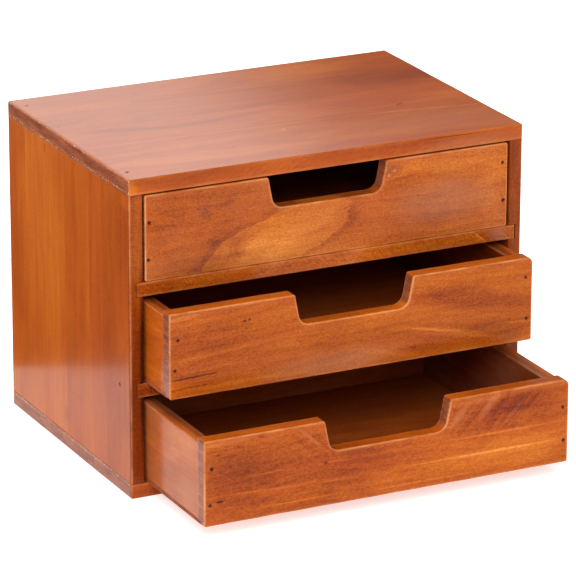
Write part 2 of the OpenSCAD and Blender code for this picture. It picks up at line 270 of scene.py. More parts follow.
def soft_light(name, place, side, watts):
    """A square soft light that faces the chest."""
    data = bpy.data.lights.new(name, "AREA")
    data.size, data.energy = side, watts
    light = bpy.data.objects.new(name, data)
    bpy.context.scene.collection.objects.link(light)
    facing = (Vector(CHEST_MIDDLE) - Vector(place)).to_track_quat("-Z", "Y")
    light.matrix_world = Matrix.Translation(place) @ facing.to_matrix().to_4x4()
    light.visible_camera = False
    return light


studio_sky()
key = soft_light("key", KEY_PLACE, KEY_SIDE, KEY_WATTS)
left_strip = soft_light("left_strip", STRIP_PLACE, STRIP_SIDE, STRIP_WATTS)
overhead = soft_light("overhead", OVERHEAD_PLACE, OVERHEAD_SIDE, OVERHEAD_WATTS)
bpy.context.scene.view_settings.view_transform = "Standard"
bpy.context.scene.view_settings.look = "None"
print("lights:", [(light.name, light.data.energy) for light in (key, left_strip, overhead)])

# %% [markdown]
# ## What the varnish mirrors
# In the picture the left half of the top carries a soft pale sheen that fades out to the right, and
# the left side is clean down to a sloping line with a pinkish sheen below it. Both are reflections:
# a bright card stands behind the chest, and something dark lies on the floor behind its left side.
# They are sheets that only glossy rays see, so they shape the sheen and leave the shading alone.

# %% Card and dark cloth
CARD_Y = 1.15
CARD_X, CARD_Z = (-0.6, 1.0), (0.40, 1.05)
CARD_COLOUR = (1.0, 0.98, 0.95, 1)
CARD_EDGE_X, CARD_EDGE_LEAN, CARD_EDGE_Z = 0.50, 1.2, 0.585
CARD_FADE = 0.09
FAINT_FROM, FAINT_GLOW = (0.63, 0.71), 0.22
BRIGHTENS_FROM, BRIGHTENS_BY = (0.35, 0.64), (2.1, 2.65)


def bright_card():
    """White card: it glows with 1 - smoothstep across a slanted edge, faintly beyond it high up, and
    a little more towards the right."""
    material, w = new_material("bright_card")
    x, _, z = w.axes(w.here())
    edge = w.total(w.times(w.math("SUBTRACT", z, CARD_EDGE_Z), CARD_EDGE_LEAN), CARD_EDGE_X)
    lit = w.fit(w.math("SUBTRACT", x, edge), -CARD_FADE, CARD_FADE, 1.0, 0.0, smooth=True)
    faint = w.fit(z, *FAINT_FROM, 0.0, FAINT_GLOW, smooth=True)
    glow = w.times(w.math("MAXIMUM", lit, faint), w.fit(x, *BRIGHTENS_FROM, *BRIGHTENS_BY))
    w.finish(w.add("ShaderNodeEmission", {"Color": CARD_COLOUR, "Strength": glow}))
    return material


def black_felt():
    """Felt: its nap is a fine noise between two near blacks."""
    material, w = new_material("black_felt")
    nap = w.noise(w.here(), scale=300, detail=3)
    w.finish(w.add("ShaderNodeBsdfDiffuse", {"Color": w.mix(nap, grey(0.01), grey(0.02))}))
    return material


def only_mirrored(sheet):
    """Hides a sheet from all but the glossy rays."""
    sheet.visible_camera = sheet.visible_diffuse = sheet.visible_shadow = False


card_x, card_z = np.meshgrid(CARD_X, CARD_Z)
card_points = np.stack([card_x, np.full_like(card_x, CARD_Y), card_z], axis=-1)
card = stage_sheet("bright_card", card_points, bright_card())
CLOTH_X = np.array([-0.155, -0.200, -0.284, -0.750])
CLOTH_NEAR_Y = np.array([0.200, 0.185, 0.141, -0.100])
CLOTH_FAR_Y = np.full(4, 0.950)
CLOTH_Z = np.full(4, 0.002)
cloth_edges = [np.stack([CLOTH_X, y, CLOTH_Z], axis=-1) for y in (CLOTH_NEAR_Y, CLOTH_FAR_Y)]
cloth = stage_sheet("dark_cloth", np.stack(cloth_edges), black_felt())
for sheet in (card, cloth):
    only_mirrored(sheet)
print("mirrored only:", card.name, cloth.name)

# %% [markdown]
# ## Lines across a board
# Every surface below is a grid. Its lines stand a few millimetres apart on plain wood, close
# together where a brad was driven in or along an edge, and two a hair apart where a saw cut has an
# upright wall. A subdivision of the whole board would give as much detail everywhere, at many
# times the faces.

# %% Grid lines
HAIR = 0.01
HOLE_REACH = 2.4
HOLE_LINES = np.linspace(-HOLE_REACH, HOLE_REACH, 17)
EDGE_LINES = np.array([0.6, 1.5, 3.0])
CLEAR_OF_SPECIAL = 0.3


def lines(start, end, step, brads=(), walls=()):
    """Places of grid lines from start to end: evenly about step apart, then HOLE_LINES round each brad,
    and a pair of lines a hair to either side of each wall. All arrays, in millimetres."""
    even = np.linspace(start, end, max(2, round((end - start) / step) + 1))
    close = np.add.outer(np.asarray(brads, float), HOLE_LINES).ravel()
    pairs = np.add.outer(np.asarray(walls, float), (-HAIR, HAIR)).ravel()
    special = np.concatenate([close, pairs])
    special = special[(special > start + HAIR) & (special < end - HAIR)]
    if special.size:
        clear = np.abs(even[:, None] - special[None, :]).min(axis=1) > CLEAR_OF_SPECIAL
        clear[[0, -1]] = True
        even = even[clear]
    return np.unique(np.concatenate([even, special]))


print("lines of a 20 mm edge with a brad at 8:", lines(0, 20, 5, [8]).round(2))

# %% [markdown]
# ## Smooth noise from sine waves
# A hand-sanded edge isn't equally round along its length. A sum of a few sine waves in random
# directions gives a smooth wander that is the same on each run, because its seed is fixed.

# %% Ripple
WAVE_SPREAD = (0.6, 1.6)
WAVE_HEIGHT = 0.8


def ripple(points, seed, wavelength, waves=7):
    """Smooth noise of about 0 to 1: a half plus the mean of sin(way . point + phase), enlarged."""
    random = np.random.default_rng(seed)
    ways = random.normal(size=(3, waves))
    ways *= 2 * math.pi / (wavelength * np.linalg.norm(ways, axis=0)) * random.uniform(*WAVE_SPREAD, waves)
    phases = random.uniform(0, 2 * math.pi, waves)
    return 0.5 + WAVE_HEIGHT * np.sin(points @ ways + phases).mean(axis=-1)


print("ripple along 100 mm:", ripple(np.outer(np.linspace(0, 100, 5), (1, 0, 0)), 3, 40).round(2))

# %% [markdown]
# ## A planed board
# A board is a box with eased edges. The shape is a box's six faces, each a grid of two parameters,
# pulled onto a rounded form: a point is drawn to the nearest point of a smaller inner box, and put
# back at the easing's radius from it. A Bevel modifier gives a like form, but not an easing that
# wanders, nor grid lines where the brads and saw cuts want them. A board's easings are written as
# the radii at the low and the high end of each axis.

# %% Rounded box
ARC_STEPS = 4
EASE_LEAST, EASE_SPREAD = 0.8, 0.3
EASE_WAVE = 60
EDGE_SHARE, POINT_SHARE = 0.3, 0.7


def board_lines(low, high, ease_low, ease_high, inner):
    """Lines along one axis of a board: the two easings, spaced by the tangent so that the rounded edge
    gets facets of one size, EDGE_LINES next to them on a long side, and inner lines between."""
    bend = 1 - np.tan(np.linspace(math.pi / 4, 0, ARC_STEPS + 1))[:-1]
    start, end = low + ease_low, high - ease_high
    long_enough = end - start > 4 * EDGE_LINES[-1]
    near = np.concatenate([start + EDGE_LINES, end - EDGE_LINES]) if long_enough else []
    inner = inner[(inner > start + HAIR) & (inner < end - HAIR)]
    middle = np.unique(np.concatenate([inner, near]))
    return np.concatenate([low + ease_low * bend, [start], middle, [end], (high - ease_high * bend)[::-1]])


def rounded_box(low, high, ease, inner_lines, seed):
    """Six grids of points. With c the point of the inner box nearest to q, and r the radii on q's side,
    the surface is c + r (q - c) / |q - c|, where the division is by lengths measured in radii."""
    low, high, ease = np.array(low, float), np.array(high, float), np.array(ease, float)
    axis_lines = [board_lines(low[a], high[a], *ease[a], inner_lines[a]) for a in range(3)]
    grids = []
    for axis in range(3):
        one, two = [a for a in range(3) if a != axis]
        for side in (low[axis], high[axis]):
            q = np.zeros((len(axis_lines[one]), len(axis_lines[two]), 3))
            q[..., one], q[..., two] = np.meshgrid(axis_lines[one], axis_lines[two], indexing="ij")
            q[..., axis] = side
            near_low = q < (low + high) / 2
            radius = np.where(near_low, ease[:, 0], ease[:, 1])
            along = np.where(near_low, low, high) * EDGE_SHARE + q * POINT_SHARE
            wander = EASE_LEAST + EASE_SPREAD * ripple(along, seed, EASE_WAVE)
            radius = radius * np.minimum(wander, 1.0)[..., None]
            c = np.clip(q, low + radius, high - radius)
            away = (q - c) / radius
            away /= np.maximum(np.linalg.norm(away, axis=-1, keepdims=True), 1e-9)
            grids.append(c + radius * away)
    return grids


print("a board's lines:", board_lines(0, 30, 2, 2, np.array([10.0, 20.0])).round(2))

# %% [markdown]
# ## Saw cuts and brad holes
# A groove or a rebate needs no Boolean here. Every point that lies inside the cut's box slides along
# one axis to the cut's floor, and the lines a hair apart become its walls. A brad's head was punched
# below the surface: the points round its axis drop, steeply at the rim, and the fibres round it are
# dented. Some holes were filled before the board was stained, so only a faint dent is left.

# %% Cuts and holes
HOLE_DEPTH = 1.35
HOLE_R = (1.0, 1.2)
RIM = 0.15
DENT_DEPTH, DENT_R = 0.12, 1.7
HOLE_LIMIT = 4.0
NEAR_FACE = 2.0


def saw(grids, low, high, axis, floor):
    """Moves every point inside the box low..high along one axis to floor."""
    for points in grids:
        inside = np.all((points > np.array(low)) & (points < np.array(high)), axis=-1)
        points[inside, axis] = floor


def sink_brads(grids, places, axis, inward, seed, open_shares=None):
    """Drops the points round each brad by depth (1 - smoothstep(distance)), plus a shallow dent.
    Distances are measured across the brad's axis in an oval that differs from hole to hole, and
    open_shares says how deep each hole was left by the filler."""
    random = np.random.default_rng(seed)
    across = [a for a in range(3) if a != axis]
    for place, share in zip(places, open_shares or [1.0] * len(places)):
        stretch = random.uniform(0.8, 1.0, 2)
        size = random.uniform(*HOLE_R)
        for points in grids:
            distance = np.linalg.norm((points[..., across] - np.array(place)[across]) * stretch, axis=-1)
            near = (np.abs(points[..., axis] - place[axis]) < NEAR_FACE) & (distance < HOLE_LIMIT)
            wall = np.clip((size + RIM - distance) / (2 * RIM), 0, 1)
            dent = DENT_DEPTH * np.exp(-((distance / DENT_R) ** 2))
            drop = HOLE_DEPTH * wall * wall * (3 - 2 * wall) + dent
            points[..., axis] += np.where(near, inward * share * drop, 0.0)


print("a hole is", HOLE_DEPTH, "mm deep and about", 2 * HOLE_R[0], "mm wide")

# %% [markdown]
# ## From grids to a piece
# The grids share their border points, so they are welded into one closed skin. Each point keeps a
# number, rubbed, that says how near it is to an edge that hands and sandpaper reach. A pointiness
# node could find edges as well, but it isn't kept in an exported model.

# %% Making a piece
WELD = 2e-6
RUB_REACH = 0.9
SHARP_FROM = math.radians(38)


def box_rubbed(grids, low, high, axes=(0, 1, 2)):
    """How near each point is to an edge of the box: exp(-(d / RUB_REACH)^2), where d is the second
    smallest of its distances to the pairs of faces named by axes."""
    low, high, axes = np.array(low), np.array(high), list(axes)
    to_faces = [np.minimum(points - low, high - points)[..., axes] for points in grids]
    depths = [np.sort(distances, axis=-1)[..., 1] for distances in to_faces]
    return [np.exp(-((np.maximum(depth, 0) / RUB_REACH) ** 2)) for depth in depths]


def weld(mesh):
    """Merges the grids' shared points, turns the faces outwards, and returns volume and open edges."""
    skin = bmesh.new()
    skin.from_mesh(mesh)
    bmesh.ops.remove_doubles(skin, verts=skin.verts, dist=WELD)
    bmesh.ops.dissolve_degenerate(skin, edges=skin.edges, dist=WELD / 4)
    bmesh.ops.recalc_face_normals(skin, faces=skin.faces)
    open_edges = sum(1 for edge in skin.edges if not edge.is_manifold)
    volume = skin.calc_volume(signed=True)
    if volume < 0:
        bmesh.ops.reverse_faces(skin, faces=skin.faces)
    skin.to_mesh(mesh)
    skin.free()
    return abs(volume), open_edges


def make_piece(name, grids, rubbed, body, node, material):
    """Welds the grids to one mesh in metres, turned the right way out, that rides on its body."""
    points = np.concatenate([g.reshape(-1, 3) for g in grids]) * MM
    first = np.cumsum([0] + [g.shape[0] * g.shape[1] for g in grids])
    faces = np.concatenate([grid_faces(*g.shape[:2], n) for g, n in zip(grids, first)])
    mesh = bpy.data.meshes.new(name)
    mesh.from_pydata(points.tolist(), [], faces.tolist())
    wear = mesh.attributes.new("rubbed", "FLOAT", "POINT")
    wear.data.foreach_set("value", np.concatenate([r.ravel() for r in rubbed]).astype(np.float32))
    volume, open_edges = weld(mesh)
    mesh.shade_smooth()
    mesh.set_sharp_from_angle(angle=SHARP_FROM)
    mesh.materials.append(material)
    piece = bpy.data.objects.new(name, mesh)
    bpy.context.scene.collection.objects.link(piece)
    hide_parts(node)
    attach(piece, body)
    print(f"{name}: {len(mesh.polygons)} faces, {volume * 1e6:.1f} cm3, {open_edges} open edges")
    return piece

# %% [markdown]
# ## Stained softwood
# The wood is a solid pattern, so that a board's faces, edges and ends belong together as in a real
# board. A picture of planks would be quicker, but its grain would break at every edge. The pattern
# works in millimetres with the grain along X, and a Mapping node turns it for the other boards.

# %% Where the grain runs
MM_PER_METRE = (1000, 1000, 1000)
GRAIN_ALONG = {"X": (0, 0, 0), "Y": (0, 0, -math.pi / 2), "Z": (0, math.pi / 2, 0)}


def grain_frame(w, grain):
    """The point in millimetres, the same turned so that X runs along the grain, and the turned normal."""
    coordinates, turn = w.add("ShaderNodeTexCoord").outputs, GRAIN_ALONG[grain]
    in_mm = w.map("POINT", coordinates["Object"], Scale=MM_PER_METRE)
    return in_mm, w.map("POINT", in_mm, Rotation=turn), w.map("NORMAL", coordinates["Normal"], Rotation=turn)


print("an upright board is turned by", GRAIN_ALONG["Z"])

# %% [markdown]
# ## Stretched noise and marks
# Wood is the same few things at many lengths: clouds of stain, streaks, fibres and pores. Each is
# noise drawn out along the grain. What is found once on one board, such as a knot, a pale streak or
# a blotch, is a mark: an ellipse with a ragged border, laid at a place on the board's face.

# %% Noise and marks
DEEP = 40.0
RAGGED_SCALE = 2.6
STRAY = (0.37, 0.53, 0.71)


def drawn_out(w, place, size, turn=(0, 0, 0), detail=3.0, roughness=0.55, distortion=0.0):
    """Noise whose grains are size long, deep and high in millimetres."""
    laid = w.map("TEXTURE", place, Rotation=turn, Scale=size)
    return w.noise(laid, 1.0, detail, roughness, distortion)


def mark(at, reach, tilt=0.0, ragged=0.25, inside=0.8, outside=1.1, deep=DEEP, **changes):
    """A mark at a place on the face, with its half length and half width, in millimetres, and its rise
    in degrees. It fades from inside to outside, in shares of its reach. The changes are to shade, red
    or haze, or name another face than the piece's own."""
    return {"at": at, "reach": reach, "tilt": math.radians(tilt), "ragged": ragged, "inside": inside,
            "outside": outside, "deep": deep, **changes}


def patch(at, reach, **changes):
    """A mark that fades slowly from near its middle to beyond its rim."""
    return mark(at, reach, **{"inside": 0.2, "outside": 1.2, **changes})


def stripe(at, reach, **changes):
    """A mark that fades along its length, such as a line of pale grain."""
    return mark(at, reach, **{"inside": 0.3, **changes})


def lay(face, at, reach, tilt, deep):
    """The centre, size and turn of something laid on a face: in its plane, at its depth."""
    plane, depth = face
    if plane == "XZ":
        return (at[0], depth, at[1]), (reach[0], deep, reach[1]), (0, -tilt, 0)
    return (at[0], at[1], depth), (reach[0], reach[1], deep), (0, 0, tilt)


def spot(w, place, face, m):
    """1 inside a mark's ellipse, 0 outside: the length of the point in the ellipse's own frame, plus
    noise for the ragged border, run through a smooth step."""
    centre, size, turn = lay(m.get("face", face), m["at"], m["reach"], m["tilt"], m["deep"])
    own = w.map("TEXTURE", place, Location=centre, Rotation=turn, Scale=size)
    stray = w.vector("ADD", own, tuple(c * s for c, s in zip(centre, STRAY)))
    radius = w.total(w.length(own), w.swing(w.noise(stray, RAGGED_SCALE, 4, 0.6), m["ragged"]))
    return w.fit(radius, m["inside"], m["outside"], 1.0, 0.0, smooth=True)


print("a mark:", mark((10, 20), (30, 2), shade=0.1))

# %% [markdown]
# ## Glued strips
# The case's boards are glued up from narrow strips. Each strip has its own tone and its own stretch
# of grain. A ramp with hard steps across the board gives the tone, and the tone, much enlarged,
# shifts the pattern to another place in the endless wood.

# %% Strips
GLUE_LINE_WAVES = (160, 30, 30)
ALONG_JUMP, BACK_JUMP, UP_JUMP = 1700.0, 310.0, 190.0


def strip_tones(w, in_mm, place, look):
    """The tone and the redness of the strip that a point is in, and the point in its own wood."""
    across = w.axes(in_mm)[look["strip_axis"]]
    if look["strip_lean"]:
        across = w.math("SUBTRACT", across, w.times(w.axes(in_mm)["Z"], look["strip_lean"]))
    across = w.total(across, w.swing(drawn_out(w, place, GLUE_LINE_WAVES), look["strip_wander"]))
    tones = w.ramp(w.fit(across, *look["strip_span"]),
                   [(at, (tone, red, 0, 1)) for at, tone, red in look["strips"]], "CONSTANT")
    tone, red, _ = w.add("ShaderNodeSeparateColor", {"Color": tones}).outputs
    jumps = {"X": w.times(tone, ALONG_JUMP), "Y": w.times(tone, BACK_JUMP), "Z": w.times(red, UP_JUMP)}
    own = w.add("ShaderNodeCombineXYZ", jumps).outputs[0]
    return tone, red, w.vector("ADD", w.vector("ADD", place, own), look["shift"])


print("a strip's own wood lies up to", ALONG_JUMP, "mm along the grain")

# %% [markdown]
# ## Growth rings
# Growth rings are cylinders round a heart that wanders along the trunk. The distance to the heart,
# cut by FRACT into rings, gives a saw tooth: pale early wood that darkens slowly to a thin line.
# Blender's Wave texture makes rings too, but without the one-sided line.

# %% Rings
HEART_WANDER = 60
HEART_WAVES = (0.006, 0.012, 0.012)
RING_FALL = 0.15


def ring_lines(w, here, spacing):
    """1 on the dark late wood of each ring: the cube of the distance's fraction, and a quick fall."""
    waves = w.vector("MULTIPLY", here, HEART_WAVES)
    drift = w.add("ShaderNodeTexNoise", {"Vector": waves, "Scale": 1.0, "Detail": 2.0}).outputs["Color"]
    drift = w.vector("SUBTRACT", drift, (0.5, 0.5, 0.5))
    drift = w.vector("MULTIPLY", drift, (0, HEART_WANDER, HEART_WANDER))
    distance = w.length(w.vector("MULTIPLY", w.vector("ADD", here, drift), (0.0, 1.0, 1.0)))
    tooth = w.math("FRACT", w.times(distance, 1 / spacing))
    return w.math("MAXIMUM", w.math("POWER", tooth, 3.0), w.fit(tooth, 0.0, RING_FALL, 1.0, 0.0))


print("a tree's heart wanders by", HEART_WANDER / 2, "mm to each side")

# %% [markdown]
# ## The stain's colours
# One dark-to-light ramp for orange wood and one for redder wood cover the whole chest. Haze is the
# dull pinkish bloom on planed patches. Ends drink more stain and turn browner, and where an arris
# was sanded through, the paler wood shows. A board's shift says where in the endless wood it was
# cut, in millimetres along, behind and above the heart.

# %% Colours and the wood's settings
ORANGE = {0.0: (58, 20, 4), 0.25: (122, 48, 5), 0.5: (171, 82, 12), 0.75: (203, 114, 34), 1.0: (228, 152, 76)}
RUSSET = {0.0: (52, 16, 6), 0.25: (112, 37, 8), 0.5: (158, 63, 16), 0.75: (188, 91, 36), 1.0: (212, 127, 76)}
END_GRAIN = {0.0: (78, 38, 28), 0.4: (128, 66, 42), 0.7: (160, 88, 56), 1.0: (196, 132, 98)}
HAZE = (164, 116, 88)
RUBBED_WOOD = (236, 160, 98)
TORN_FIBRES = (236, 200, 172)
LOOK = {
    "grain": "X", "face": ("XZ", 0.0), "shift": (0, 0, 0),
    "strips": ((0.0, 0.5, 0.4),), "strip_axis": "Y", "strip_span": (-114, 114), "strip_lean": 0.0,
    "strip_wander": 1.0, "shade": 0.54, "red": 0.35, "haze": 0.0, "marks": (), "hatches": (),
    "cloud": 0.20, "streak": 0.10, "fibre": 0.12, "grit": 0.27, "pores": 0.12, "ring": 7.0,
    "ring_depth": 0.05,
    "end_shade": 0.47, "rub": 0.6, "chips": 0.0, "roughness": 0.45, "coat": 1.0}


def stops(paint):
    """A ramp's stops from a paint: each shade's colour, made linear."""
    return [(shade, srgb(*colour)) for shade, colour in paint.items()]


print("ramps:", len(ORANGE), "oranges,", len(RUSSET), "russets,", len(END_GRAIN), "end browns")

# %% [markdown]
# ## End grain, rubbed edges and torn fibres
# The ends of a board show cut pores: a gritty brown with bands. They are found by the normal, which
# points along the grain there. Rubbed edges follow the number that each point carries.

# %% Ends and wear
END_FROM = (0.6, 0.92)
END_BANDS, END_BAND_SWING = (300, 26, 4), 0.55
END_GRIT, END_GRIT_SWING = (1.5, 1.5, 1.5), 0.35
RUB_PATCHES = (0.38, 0.62, 0.35, 1.0)
TORN_FROM = (0.57, 0.66)
TORN_REACH = (0.01, 0.25)


def end_grain(w, here, normal, look, colour):
    """Mixes the end's brown over the colour where the normal runs along the grain."""
    is_end = w.fit(w.math("ABSOLUTE", w.axes(normal)["X"]), *END_FROM, smooth=True)
    bands = w.swing(drawn_out(w, here, END_BANDS, detail=3, roughness=0.65), END_BAND_SWING)
    grit = w.swing(drawn_out(w, here, END_GRIT, detail=3, roughness=0.7), END_GRIT_SWING)
    return is_end, w.mix(is_end, colour, w.ramp(w.total(bands, grit, look["end_shade"]), stops(END_GRAIN)))


def worn(w, in_mm, is_end, look, colour):
    """Lightens rubbed arrises unevenly, and speckles the borders of the ends with torn fibres."""
    rubbed = w.add("ShaderNodeAttribute", {}, attribute_name="rubbed").outputs["Fac"]
    uneven = w.fit(w.noise(in_mm, 0.05, 3), *RUB_PATCHES)
    colour = w.mix(w.times(w.times(rubbed, uneven), look["rub"]), colour, srgb(*RUBBED_WOOD))
    if look["chips"]:
        torn = w.fit(w.noise(in_mm, 0.75, 3, 0.7), *TORN_FROM)
        chip = w.times(torn, w.fit(rubbed, *TORN_REACH))
        colour = w.mix(w.times(chip, w.times(is_end, look["chips"])), colour, srgb(*TORN_FIBRES))
    return colour


print("ends show where the normal's share along the grain passes", END_FROM)

# %% [markdown]
# ## The stained wood's material
# All the noises add up to one shade from dark to light, and the marks and hatches change it in
# their places. Hatches are fields of short slanted lines: saw marks, or the shimmer of wavy grain.
# The varnish is a thin coat over a nearly matt wood. It is thin on purpose: a thick one would lay
# a white veil over the fronts.

# %% Stained wood
GRAINS = {
    "cloud": {"size": (80, 28, 28), "distortion": 0.6}, "streak": {"size": (110, 5.0, 5.0), "roughness": 0.6},
    "fibre": {"size": (16, 0.9, 0.9), "roughness": 0.6}, "grit": {"size": (1.9, 1.2, 1.2), "roughness": 0.7}}
PORE_SIZE, PORES_FROM = (4.5, 0.8, 0.8), (0.60, 0.70)
RED_PATCHES, RED_SWING, EVEN_RED = (120, 22, 22), 0.7, 0.4
HAZE_PATCHES, HAZE_FROM = (60, 40, 40), (0.3, 0.7)
FIBRE_RISE, GRIT_RISE, PORE_DROP = 0.25, 0.15, 0.7
BUMP_SHARE, BUMP_HEIGHT = 0.3, 0.0002
SMOOTHER, ROUGHER = 0.05, 0.25
COAT_ROUGHNESS = 0.17
COAT_IOR = 1.22
ROUGHENS_FROM = (0.3, 1.6)


def wood_shade(w, here, tone, look):
    """The tone, clouds, streaks, fibres, grit, rings and pores added up, and the height for the bump."""
    noises = {kind: drawn_out(w, here, **grain) for kind, grain in GRAINS.items()}
    pore = w.fit(drawn_out(w, here, PORE_SIZE, detail=2), *PORES_FROM, smooth=True)
    swings = [w.swing(noise, look[kind]) for kind, noise in noises.items()]
    rings = w.times(ring_lines(w, here, look["ring"]), -look["ring_depth"])
    shade = w.total(tone, look["shade"] - 0.5, *swings, rings, w.times(pore, -look["pores"]))
    height = w.total(w.swing(noises["fibre"], FIBRE_RISE), w.swing(noises["grit"], GRIT_RISE),
                     w.times(pore, -PORE_DROP))
    return shade, noises["grit"], height


def hatch(at, reach, line, line_tilt, strength, tilt=0.0, **where):
    """A field of slanted lines, each about line long and wide, inside a mark."""
    return {"where": mark(at, reach, tilt, inside=0.4, outside=1.2, **where), "line": line,
            "line_tilt": math.radians(line_tilt), "strength": strength}


def stained_wood(name, **changes):
    """The whole finish: ramps of the shade, mixed by redness and haze, then ends and wear, under varnish."""
    look = {**LOOK, **changes}
    material, w = new_material(name)
    in_mm, place, normal = grain_frame(w, look["grain"])
    tone, strip_red, here = strip_tones(w, in_mm, place, look)
    shade, grit, height = wood_shade(w, here, tone, look)
    redness = w.swing(drawn_out(w, here, RED_PATCHES, detail=2), RED_SWING)
    amounts = {"shade": shade, "red": w.total(strip_red, redness, look["red"] - EVEN_RED),
               "haze": w.times(w.fit(drawn_out(w, here, HAZE_PATCHES), *HAZE_FROM), look["haze"])}
    for field in look["hatches"]:
        on_face = field["where"].get("face", look["face"])
        _, size, turn = lay(on_face, (0, 0), field["line"], field["line_tilt"], DEEP)
        amount = w.swing(drawn_out(w, place, size, turn, roughness=0.6), field["strength"])
        inside = spot(w, place, look["face"], field["where"])
        amounts["shade"] = w.total(amounts["shade"], w.times(amount, inside))
    for m in look["marks"]:
        inside = spot(w, place, look["face"], m)
        for kind in [kind for kind in amounts if kind in m]:
            amounts[kind] = w.total(amounts[kind], w.times(inside, m[kind]))
    orange, russet = [w.ramp(amounts["shade"], stops(paint)) for paint in (ORANGE, RUSSET)]
    colour = w.mix(w.fit(amounts["red"], 0, 1), orange, russet)
    colour = w.mix(w.fit(amounts["haze"], 0, 1), colour, srgb(*HAZE))
    is_end, colour = end_grain(w, here, normal, look, colour)
    matt = look["roughness"]
    rough = w.fit(w.total(grit, is_end), *ROUGHENS_FROM, matt - SMOOTHER, matt + ROUGHER)
    w.finish(w.add("ShaderNodeBsdfPrincipled", {
        "Base Color": worn(w, in_mm, is_end, look, colour), "Roughness": rough, "Specular IOR Level": 0.02,
        "Normal": w.bump(height, BUMP_SHARE, BUMP_HEIGHT), "Coat Weight": look["coat"],
        "Coat Roughness": COAT_ROUGHNESS, "Coat IOR": COAT_IOR}))
    return material


print("varnish: roughness", COAT_ROUGHNESS, "index", COAT_IOR)

# %% [markdown]
# ## Sizes from the frame
# The frame says where each board lies, so the pieces take their sizes from it. What a box can't
# say, such as a groove's depth, is named here once. A cut reaches PAST the board's own faces, so
# that the points on them move with it.

# %% Sizes from the frame
REBATE_W = 6.0
GROOVE_D = 6.0
GROOVE_PLAY = 0.3
CELL = 6.0
THIN_CELL = 3.0
PAST = 1.0


def box_mm(node):
    """A node's lowest and highest corner in millimetres."""
    low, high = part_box(node)
    return np.array(low) / MM, np.array(high) / MM


top_low, top_high = box_mm("top_board")
side_low, side_high = box_mm("left_side")
back_low, back_high = box_mm("back_panel")
wall_low, wall_high = box_mm("top_drawer_right")
CASE_W, CASE_D, BOARD_T = top_high - top_low
SIDE_T = side_high[0] - side_low[0]
BACK_T = back_high[1] - back_low[1]
WALL_T = wall_high[0] - wall_low[0]
WALL_X = (wall_low[0] + wall_high[0]) / 2
REBATE_Y = CASE_D / 2 - BACK_T
REBATE_X = CASE_W / 2 - SIDE_T + REBATE_W
print("case", CASE_W, CASE_D, top_high[2], "boards", BOARD_T, SIDE_T, "drawer walls", WALL_T, "at", WALL_X)

# %% [markdown]
# ## Top and bottom board
# They lie over the ends of the side panels and are nailed down into them. Each is glued up from
# five strips, and has a stopped rebate for the back panel. On the top, one brad hole at the front
# left is open and the others were filled. A long pale line, a pale tongue and a dark curved band
# run along the grain, and the strip behind the middle is browner than the one before it.

# %% Top and bottom board
BOARD_BRAD_IN = 8.0
EDGE_BRAD_IN = 20.0
BOARD_BRAD_COUNT = 4
BOARD_OPEN = [1.0, 0.0, 0.0, 0.12, 0.1, 0.0, 0.0, 0.1]
TOP_EASE, BOTTOM_EASE = [(2, 2), (2, 2), (0.3, 1.4)], [(2, 2), (2, 2), (1.4, 0.3)]
brad_xs = [-CASE_W / 2 + BOARD_BRAD_IN, CASE_W / 2 - BOARD_BRAD_IN]
brad_ys = np.linspace(-CASE_D / 2 + EDGE_BRAD_IN, CASE_D / 2 - EDGE_BRAD_IN, BOARD_BRAD_COUNT)
# Each strip: where it starts across the board, its tone and its redness, all as shares.
TOP_STRIPS = ((0.0, 0.52, 0.5), (0.215, 0.50, 0.5), (0.37, 0.53, 0.55), (0.563, 0.46, 0.45),
              (0.77, 0.49, 0.4))
BOTTOM_STRIPS = ((0.0, 0.45, 0.5), (0.30, 0.50, 0.4), (0.566, 0.42, 0.6), (0.67, 0.52, 0.4),
                 (0.765, 0.44, 0.5))
TOP_MARKS = [
    mark((-50, -33), (115, 1.6), tilt=-2.6, shade=0.10),
    mark((112, -45.5), (52, 1.8), tilt=-8, shade=0.12),
    mark((-85, -82), (88, 11), tilt=-4, inside=0.7, outside=1.15, shade=0.09),
    stripe((-120, 5), (42, 7), tilt=-12, shade=-0.10),
    stripe((-60, -4), (50, 7), shade=-0.10),
    stripe((-15, 1), (40, 6), tilt=4, shade=-0.08),
    patch((100, 0), (85, 15), inside=0.5, shade=0.03, red=0.35),
    patch((135, 46), (70, 30), outside=1.3, shade=-0.12, red=0.1),
    patch((80, 92), (50, 22), outside=1.3, shade=0.06, red=-0.3),
    patch((110, -75), (70, 28), outside=1.3, shade=-0.02, haze=0.15),
    mark((104, -27), (5, 1.6), tilt=35, shade=-0.16, red=0.4),
    mark((-6, -48), (1.6, 4), tilt=-15, shade=0.14),
    mark((-157, 95), (3.6, 1.5), tilt=50, shade=-0.12, red=0.5),
    mark((-157, 33), (2.6, 1.0), tilt=60, shade=-0.08, red=0.4),
]
FRONT_Y = -CASE_D / 2
FRONT_EDGE = {"face": ("XZ", FRONT_Y), "deep": 2.5}
TOP_EDGE_GRAIN = hatch((0, 245), (175, 9), (10, 0.9), 32, 0.22, **FRONT_EDGE)
TOP_EDGE_MARKS = [
    patch((-118, 248), (70, 9), shade=-0.16, red=0.0, **FRONT_EDGE),
    patch((-164, 242), (7, 9), inside=0.4, shade=0.12, red=-0.4, **FRONT_EDGE),
    patch((120, 243), (50, 6), shade=-0.04, haze=0.2, **FRONT_EDGE),
    patch((20, 246), (90, 9), inside=0.3, shade=-0.05, **FRONT_EDGE),
    patch((90, 247), (60, 3), tilt=-1, inside=0.3, shade=-0.06, **FRONT_EDGE),
    stripe((105, 249.3), (45, 0.5), tilt=-0.6, shade=-0.3, **FRONT_EDGE),
]


def case_piece(name, grids, rubbed, **look):
    """Gives a board of the case its own wood."""
    wood = stained_wood(name + "_wood", **look)
    return make_piece(name + "_planed", grids, rubbed, "case", name, wood)


